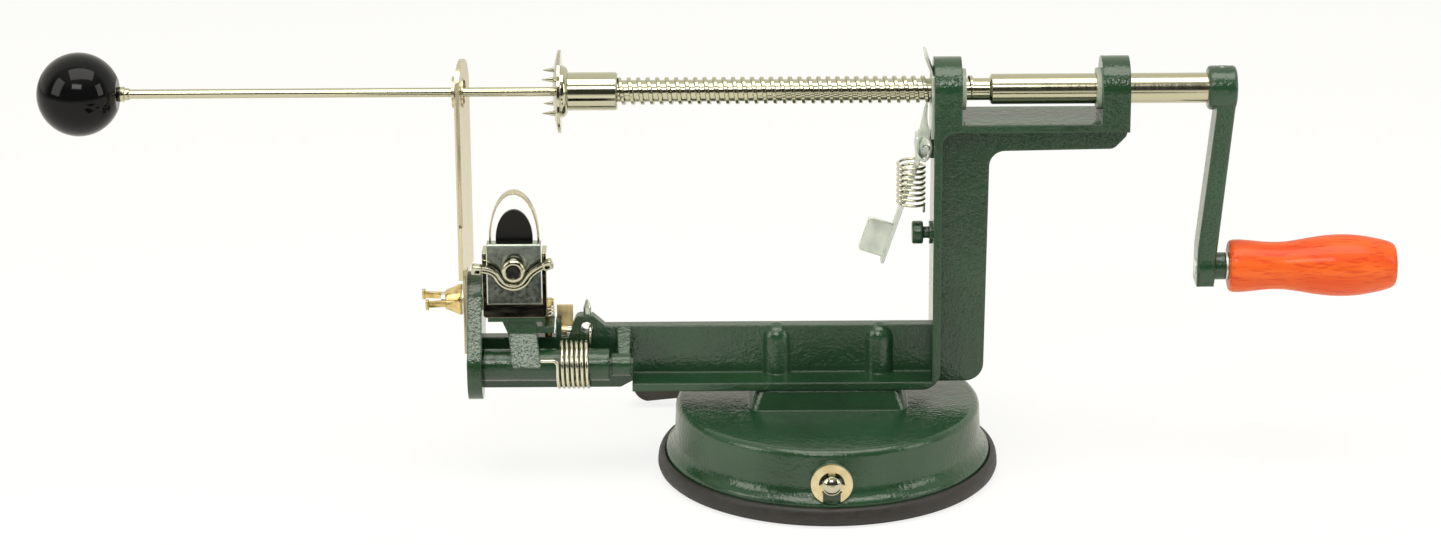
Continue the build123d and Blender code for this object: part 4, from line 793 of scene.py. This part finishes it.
class CUTTER_OT_skewer(bpy.types.Operator):
    """Turns the ball handle, its ferrule and the pointed skewer"""
    bl_idname = "cutter.skewer"
    bl_label = "Skewer and ball"

    def execute(self, context):
        low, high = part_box("ball_handle")
        radius = (high.z - low.z) / 2 / MM
        centre, flat = low.x / MM + radius, high.x / MM
        bore = 1.5
        stop = math.acos((flat - centre) / radius)
        turn = [math.pi - (math.pi - stop) * i / 60 for i in range(61)]
        outline = ([(centre - radius, 0)] + [(centre + radius * math.cos(a),
                                              radius * math.sin(a)) for a in turn[1:]]
                   + [(flat, radius * math.sin(stop) - 0.35), (flat, bore), (centre, bore), (centre, 0)])
        ball = lathe("moulded_ball", outline, (0, SHAFT_Z), 128)
        smooth(ball, 25)
        finish_piece(ball, "skewer", black_phenolic(), ["ball_handle"])
        ferrule = [(flat, bore), (flat, 2.3), (flat + 0.2, 2.4), (flat + 2.1, 2.4), (flat + 2.3, 2.2),
                   (flat + 2.4, 1.95), (flat + 3.6, 1.9), (flat + 3.8, 1.75), (flat + 3.8, bore), (flat,
                                                                                                   bore)]
        collar = lathe("turned_ferrule", ferrule, (0, SHAFT_Z), 64)
        smooth(collar)
        finish_piece(collar, "skewer", bright_shaft_steel(), ["skewer_ferrule"])
        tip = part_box("skewer_rod")[1].x / MM
        rod = lathe("pointed_skewer", [(centre, 0), (centre, bore), (tip - 3.2, bore), (tip - 2.9,
                                                                                        bore - 0.08),
                                       (tip - 0.2, 0.22), (tip, 0)], (0, SHAFT_Z), 48)
        smooth(rod)
        finish_piece(rod, "skewer", bright_shaft_steel(), ["skewer_rod"])
        return {"FINISHED"}


class CUTTER_OT_grip(bpy.types.Operator):
    """Turns the wooden grip"""
    bl_idname = "cutter.grip"
    bl_label = "Wooden grip"

    def execute(self, context):
        low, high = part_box("handle_grip")
        x, span = low.x / MM, (high.x - low.x) / MM
        bore, recess = 2.55, 4.3
        # share of the length, and diameter there
        stations = ((0.03, 16.9), (0.08, 16.9), (0.15, 16.2), (0.24, 15.3), (0.33, 15.4), (0.42, 16.7),
                    (0.52, 18.5),
                    (0.61, 19.6), (0.69, 19.85), (0.77, 19.4), (0.85, 18.1), (0.92, 16.5), (0.965, 15.1))
        side = through([(x + share * span, d / 2) for share, d in stations], 5)
        butt = [(x, bore), (x, 7.2), (x + 0.15, 7.75), (x + 0.6, 8.2)]
        tail = [(x + span - 0.9, 7.05), (x + span - 0.3, 6.6), (x + span, 5.9), (x + span, recess + 0.3),
                (x + span - 0.3, recess), (x + span - 4.1, recess), (x + span - 4.1, bore), (x, bore)]
        grip = lathe("turned_grip", butt + side + tail, (0, HANDLE_Z), 112)
        smooth(grip, 40)
        finish_piece(grip, "grip", stained_beech(), ["handle_grip"])
        return {"FINISHED"}


class CUTTER_OT_wing_nuts(bpy.types.Operator):
    """Models the clamp's steel wing nut and the slicing blade's brass one"""
    bl_idname = "cutter.wing_nuts"
    bl_label = "Wing nuts"

    def execute(self, context):
        self.clamp()
        self.slicer()
        return {"FINISHED"}

    def clamp(self):
        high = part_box("clamp_wing_nut")[1]
        middle = middle_of("clamp_bolt")
        back = high.y / MM
        # ring round the bolt, standing on the clamp
        hub = lathe("clamp_hub", [(back, 2.05), (back, 3.5), (back - 0.3, 3.8), (back - 3.4, 3.9),
                                  (back - 4.2, 3.6),
                                  (back - 4.5, 3.1), (back - 4.5, 2.3), (back - 4.2, 2.05), (back, 2.05)],
                    (middle.x, middle.z), 64, "Y")
        # strap under the ring, its two ends turned up and out as wings
        path = [(-12.0, 0.7), (-9.8, 0.6), (-7.4, 0.1), (-5.7, -1.0), (-4.7, -2.6), (-3.0, -4.4), (-1.0,
                                                                                                   -5.2),
                (1.0, -5.2), (3.0, -4.3), (4.4, -2.6), (5.6, -0.9), (7.4, 0.5), (9.4, 1.6), (11.2, 2.3)]
        curve = through(path, 4)
        strap = ribbon("clamp_strap", [(middle.x / MM + x, back - 1.8, middle.z / MM + z) for x, z in curve],
                       (0, -2.6, 0), 2.0)
        join_solids(hub, strap)
        for x, z, lean in ((-11.6, 0.7, -6), (11.0, 2.2, 22)):
            tip = rounded_block("wing_tip", (3.3, 3.6, 3.0),
                                (middle.x / MM + x, back - 3.4, middle.z / MM + z), 0.6, lean)
            join_solids(hub, tip)
        smooth(hub, 40)
        finish_piece(hub, "clamp_nut", chrome_plate(), ["clamp_wing_nut"])

    def slicer(self):
        low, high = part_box("slicer_wing_nut")
        middle = (low + high) / 2
        seat = high.x / MM
        hub = lathe("slicer_hub", [(seat, 2.05), (seat, 4.8), (seat - 0.5, 5.1), (seat - 1.2, 4.9),
                                   (seat - 2.6, 4.2),
                                   (seat - 4.4, 3.5), (seat - 5.2, 3.2), (seat - 5.5, 2.8), (seat - 5.5,
                                                                                             2.05),
                                   (seat, 2.05)], (0, middle.z), 64)
        for side, tip in ((-1, seat - 11.2), (1, seat - 13.0)):
            wing = [(seat - 1.6, 2.3), (seat - 1.8, 4.2), (seat - 5.0, 4.9), (tip + 1.0, 5.6), (tip + 0.2,
                                                                                                6.4),
                    (tip - 0.4, 6.0), (tip - 0.2, 4.4), (tip + 1.0, 3.9), (seat - 5.0, 3.2), (seat - 4.8,
                                                                                              2.3)]
            blade = plate_outline("slicer_wing", [(x, side * y, middle.z / MM) for x, y in wing], (0, 0, 1),
                                  2.0, 0.4)
            join_solids(hub, blade)
            lip = rounded_block("wing_lip", (1.1, 2.4, 3.2), (tip + 0.2, side * 5.2, middle.z / MM), 0.4)
            join_solids(hub, lip)
        smooth(hub, 40)
        finish_piece(hub, "slicer_nut", yellow_brass(), ["slicer_wing_nut"])


class CUTTER_OT_levers(bpy.types.Operator):
    """Models the feed's release lever and the suction lever"""
    bl_idname = "cutter.levers"
    bl_label = "Levers"

    def execute(self, context):
        self.release()
        self.suction()
        return {"FINISHED"}

    def release(self):
        pivot = middle_of("lever_pin") / MM
        x, z = pivot.x - 0.7, pivot.z + 0.3
        front, back = -3.5, -2.4
        # finger that reaches up to the thread, on the front cheek
        finger = [(x + 0.5, z + 14.6), (x + 1.2, z + 14.6), (x + 1.0, z + 10.4), (x + 1.2, z + 8.0),
                  (x + 1.9, z + 5.2),
                  (x + 2.2, z + 3.0), (x - 1.9, z + 3.0), (x - 1.6, z + 5.2), (x - 0.8, z + 9.2), (x - 0.1,
                                                                                                   z + 12.6)]
        lever = plate_outline("release_strip", [(a, (front + back) / 2, b) for a, b in finger], (0, 1, 0),
                              back - front, 0.25)
        # dished waist in front, plain cheek behind, and the bridge between them
        for y, deep in (((front + back) / 2, True), (-(front + back) / 2, False)):
            oval = [(x + 2.75 * math.cos(a), y, z + 4.7 * math.sin(a))
                    for a in (2 * math.pi * step / 40 for step in range(40))]
            cheek = plate_outline("release_cheek", oval, (0, 1, 0), back - front, 0.2)
            join_solids(lever, cheek)
            if deep:
                bpy.ops.object.select_all(action="DESELECT")
                bpy.ops.mesh.primitive_uv_sphere_add(segments=48, ring_count=24, radius=1,
                                                     location=Vector((x, front - 0.35, z)) * MM)
                dish = bpy.context.object
                dish.scale = Vector((2.15, 0.95, 4.0)) * MM
                bpy.ops.object.transform_apply(location=True, rotation=True, scale=True)
                join_solids(lever, dish, "DIFFERENCE")
        bridge = rounded_block("release_bridge", (1.3, 6.8, 9.4), (x - 1.9, 0, z - 1.3), 0.2)
        join_solids(lever, bridge)
        # tail that runs down through the spring, and the thumb tab folded out of it
        run, drop, thick = 11.2, 33.4, 1.3
        top = Vector((x - 2.5, 0, pivot.z - 5.2))
        down = Vector((-run, 0, -drop)).normalized()
        across = Vector((down.z, 0, -down.x))
        length = math.hypot(run, drop)
        tail = [top, top + down * (length - 0.8), top + down * length - across * 0.4,
                top + down * (length - 0.2) - across * thick, top - across * thick]
        tail = plate_outline("release_tail", tail, (0, 1, 0), 4.4, 0.2)
        join_solids(lever, tail)
        near, far, reach = 0.61 * length, 0.935 * length, 8.2
        corner = 1.0
        tab = [top + down * near, top + down * far, top + down * far + across * (reach - corner),
               top + down * (far - 0.3) + across * (reach - 0.3),
               top + down * (far - corner) + across * reach,
               top + down * (near + corner) + across * reach,
               top + down * (near + 0.3) + across * (reach - 0.3),
               top + down * near + across * (reach - corner)]
        tab = plate_outline("release_tab", [point + Vector((0, -1.55, 0)) for point in tab], (0, 1, 0),
                            thick, 0.2)
        join_solids(lever, tab)
        pin = lathe("pin_hole", [(-6, 0), (-6, 1.05), (6, 1.05), (6, 0)], (pivot.x * MM, pivot.z * MM), 32,
                    "Y")
        join_solids(lever, pin, "DIFFERENCE")
        smooth(lever, 30)
        finish_piece(lever, "release_lever", zinc_plate(), ["feed_lever"])

    def suction(self):
        low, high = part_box("suction_lever")
        near, far = low.y / MM, high.y / MM
        thick = 3.6
        middle = near + thick / 2
        axle = AXLE_Z / MM
        end_x, end_z, end_r = -58.6, 7.6, 5.7
        hub = [(5.6 * math.cos(a), 5.6 * math.sin(a)) for a in (math.radians(d) for d in range(-95, 96, 10))]
        thumb = [(end_x + end_r * math.cos(a), end_z - axle + end_r * math.sin(a))
                 for a in (math.radians(d) for d in range(80, 261, 10))]
        outline = [(px, middle, axle + pz) for px, pz in hub + thumb]
        lever = plate_outline("suction_strip", outline, (0, 1, 0), thick, 0.7)
        button = lathe("thumb_button", [(near + 1, 0), (near + 1, 4.3), (far - 0.8, 4.1), (far - 0.2, 3.5),
                                        (far, 2.6),
                                        (far, 0)], (end_x * MM, end_z * MM), 48, "Y")
        join_solids(lever, button)
        bore = lathe("lever_bore", [(near - 1, 0), (near - 1, 3.1), (near + thick + 1, 3.1),
                                    (near + thick + 1, 0)],
                     (0, AXLE_Z), 48, "Y")
        join_solids(lever, bore, "DIFFERENCE")
        smooth(lever, 35)
        finish_piece(lever, "suction_axle", black_lacquer(), ["suction_lever"])


class CUTTER_OT_small_turned(bpy.types.Operator):
    """Turns the clamp bolt with its hollow end"""
    bl_idname = "cutter.small_turned"
    bl_label = "Clamp bolt"

    def execute(self, context):
        low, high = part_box("clamp_bolt")
        middle = (low + high) / 2
        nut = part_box("clamp_wing_nut")[1].y / MM
        tip, head = nut - 4.9, high.y / MM - 1.8
        bolt = lathe("clamp_stud", [(tip + 0.5, 0), (tip + 0.45, 0.8), (tip + 0.1, 1.3), (tip, 1.6),
                                    (tip + 0.15, 1.9),
                                    (tip + 0.5, 2.0), (head, 2.0), (head, 3.3), (head + 0.2, 3.4),
                                    (head + 1.5, 3.2),
                                    (head + 1.8, 2.8), (head + 1.8, 0)], (middle.x, middle.z), 48, "Y")
        smooth(bolt)
        finish_piece(bolt, "peeling_arm", blued_steel(), ["clamp_bolt"])
        return {"FINISHED"}


class CUTTER_OT_stage(bpy.types.Operator):
    """Sets the floor, the lights and the camera"""
    bl_idname = "cutter.stage"
    bl_label = "Stage, lights and camera"

    def execute(self, context):
        scene = context.scene
        scene.view_settings.view_transform = "Standard"
        self.floor()
        self.world(scene)
        self.lamps()
        self.camera(scene)
        return {"FINISHED"}

    def floor(self):
        bpy.ops.object.select_all(action="DESELECT")
        bpy.ops.mesh.primitive_plane_add(size=14, location=(0, 0, -0.3 * MM))
        floor = bpy.context.object
        floor.name = "studio_floor"
        material, tree, shader = new_material("white_sweep")
        shade(tree, shader, Base_Color=linear("#F6F5F0"), Roughness=0.9)
        seen = node(tree, "ShaderNodeLightPath")
        glow = node(tree, "ShaderNodeEmission", {"Color": (1, 1, 0.985, 1), "Strength": 1.0})
        share = node(tree, "ShaderNodeMath", {0: seen.outputs["Is Camera Ray"], 1: 0.8}, operation="MULTIPLY")
        mixed = node(tree, "ShaderNodeMixShader", {0: share.outputs[0], 1: shader.outputs[0],
                                                   2: glow.outputs[0]})
        tree.links.new(mixed.outputs[0], tree.nodes["Material Output"].inputs["Surface"])
        floor.data.materials.append(material)

        # dark cards on the table in front, seen only in the glossy faces above them
        material, tree, shader = new_material("black_velvet_card")
        shade(tree, shader, Base_Color=linear("#0A0A0A"), Roughness=1.0, Specular_IOR_Level=0.0)
        for name, place, size in (("near_card", (0.012, -0.14), (0.062, 0.05)), ("far_card", (0.075, -0.38),
                                                                                 (0.17, 0.2)),
                                  ("head_card", (-0.105, -0.2), (0.07, 0.13))):
            bpy.ops.object.select_all(action="DESELECT")
            bpy.ops.mesh.primitive_plane_add(size=1, location=(*place, 0.2 * MM))
            card = bpy.context.object
            card.name = name
            card.scale = (*size, 1)
            bpy.ops.object.transform_apply(location=True, rotation=True, scale=True)
            card.data.materials.append(material)
            card.visible_camera = card.visible_diffuse = card.visible_shadow = False

    def world(self, scene):
        world = bpy.data.worlds.new("studio")
        scene.world = world
        world.use_nodes = True
        tree = world.node_tree
        plain = tree.nodes["Background"]
        plain.inputs["Color"].default_value = (1, 0.985, 0.95, 1)
        plain.inputs["Strength"].default_value = 0.45
        seen = node(tree, "ShaderNodeLightPath")
        bright = node(tree, "ShaderNodeBackground", {"Color": (1, 1, 0.985, 1), "Strength": 1.0})
        # metal sees the white backdrop behind it and the pale ceiling, and the dark studio in front of it
        heading = node(tree, "ShaderNodeTexCoord").outputs["Generated"]
        parts = node(tree, "ShaderNodeSeparateXYZ", {"Vector": heading})
        backdrop = node(tree, "ShaderNodeMapRange", {
            "Value": parts.outputs["Y"], "From Min": -0.1, "From Max": 0.2, "To Min": 0.0, "To Max": 1.0})
        ceiling = node(tree, "ShaderNodeMapRange", {
            "Value": parts.outputs["Z"], "From Min": 0.45, "From Max": 0.85, "To Min": 0.0, "To Max": 0.6})
        pale = node(tree, "ShaderNodeMath", {
            0: backdrop.outputs["Result"], 1: ceiling.outputs["Result"]}, operation="MAXIMUM").outputs[0]
        studio = node(tree, "ShaderNodeMapRange", {"Value": pale, "To Min": 0.06, "To Max": 1.0})
        seen_in_metal = node(tree, "ShaderNodeBackground", {
            "Color": (1, 0.99, 0.87, 1), "Strength": studio.outputs["Result"]})
        shared = node(tree, "ShaderNodeMixShader", {
            0: seen.outputs["Is Glossy Ray"], 1: plain.outputs[0], 2: seen_in_metal.outputs[0]})
        direct = node(tree, "ShaderNodeMath", {
            0: seen.outputs["Is Camera Ray"], 1: seen.outputs["Is Transmission Ray"]},
            operation="MAXIMUM").outputs[0]
        mixed = node(tree, "ShaderNodeMixShader", {0: direct, 1: shared.outputs[0], 2: bright.outputs[0]})
        tree.links.new(mixed.outputs[0], tree.nodes["World Output"].inputs["Surface"])

    def lamps(self):
        for name, place, target, size, power in (
                ("overhead_softbox", (0.05, -0.25, 1.25), (0, 0, 0.06), (1.3, 0.7), 11.0),
                ("front_softbox", (-0.15, -1.16, 1.03), (-0.08, 0, 0.08), (0.65, 0.32), 5.0),
                ("left_softbox", (-1.2, -0.6, 0.7), (-0.05, 0, 0.08), (0.6, 0.9), 6.0),
                ("right_softbox", (1.3, -0.5, 0.6), (0.05, 0, 0.08), (0.5, 0.8), 4.5)):
            data = bpy.data.lights.new(name, "AREA")
            data.shape, data.size, data.size_y, data.energy = "RECTANGLE", *size, power
            data.color = (1, 0.985, 0.91)
            lamp = bpy.data.objects.new(name, data)
            lamp.location = place
            lamp.rotation_euler = (Vector(target) - Vector(place)).to_track_quat("-Z", "Y").to_euler()
            bpy.context.scene.collection.objects.link(lamp)

    def camera(self, scene):
        # a long lens 1.3 m away, looking 18.9 degrees down
        image_width, focal_pixels = 1441, 4000
        pitch, roll = math.radians(18.9), math.radians(-0.35)
        place = Vector((-34.5, -1216, 482.5)) * MM
        data = bpy.data.cameras.new("product_lens")
        data.sensor_width = 36
        data.lens = data.sensor_width * focal_pixels / image_width
        data.clip_start, data.clip_end = 0.05, 30
        camera = bpy.data.objects.new("product_camera", data)
        turn = Matrix.Rotation(math.radians(90) - pitch, 4, "X") @ Matrix.Rotation(roll, 4, "Z")
        camera.matrix_world = Matrix.Translation(place) @ turn
        scene.collection.objects.link(camera)
        scene.camera = camera


class CUTTER_PT_panel(bpy.types.Panel):
    """Sidebar panel that lists the pieces"""
    bl_label = "Spiral potato cutter"
    bl_idname = "CUTTER_PT_panel"
    bl_space_type = "VIEW_3D"
    bl_region_type = "UI"
    bl_category = "Cutter"

    def draw(self, context):
        for group in (context.scene.cutter_finishes, context.scene.cutter_sizes):
            for name in group.__annotations__:
                self.layout.prop(group, name)
        for operator in OPERATORS:
            self.layout.operator(operator.bl_idname)


OPERATORS = (
    CUTTER_OT_finishes, CUTTER_OT_feed_shaft, CUTTER_OT_base, CUTTER_OT_springs, CUTTER_OT_skewer,
    CUTTER_OT_grip,
    CUTTER_OT_wing_nuts, CUTTER_OT_levers, CUTTER_OT_small_turned, CUTTER_OT_stage,
)
CLASSES = (CutterFinishes, CutterSizes, *OPERATORS, CUTTER_PT_panel)


def register():
    for cls in CLASSES:
        bpy.utils.register_class(cls)
    bpy.types.Scene.cutter_finishes = bpy.props.PointerProperty(type=CutterFinishes)
    bpy.types.Scene.cutter_sizes = bpy.props.PointerProperty(type=CutterSizes)


def unregister():
    del bpy.types.Scene.cutter_finishes
    del bpy.types.Scene.cutter_sizes
    for cls in reversed(CLASSES):
        bpy.utils.unregister_class(cls)


def main():
    register()
    for operator in OPERATORS:
        family, name = operator.bl_idname.split(".")
        getattr(getattr(bpy.ops, family), name)()


if __name__ == "__main__":
    main()
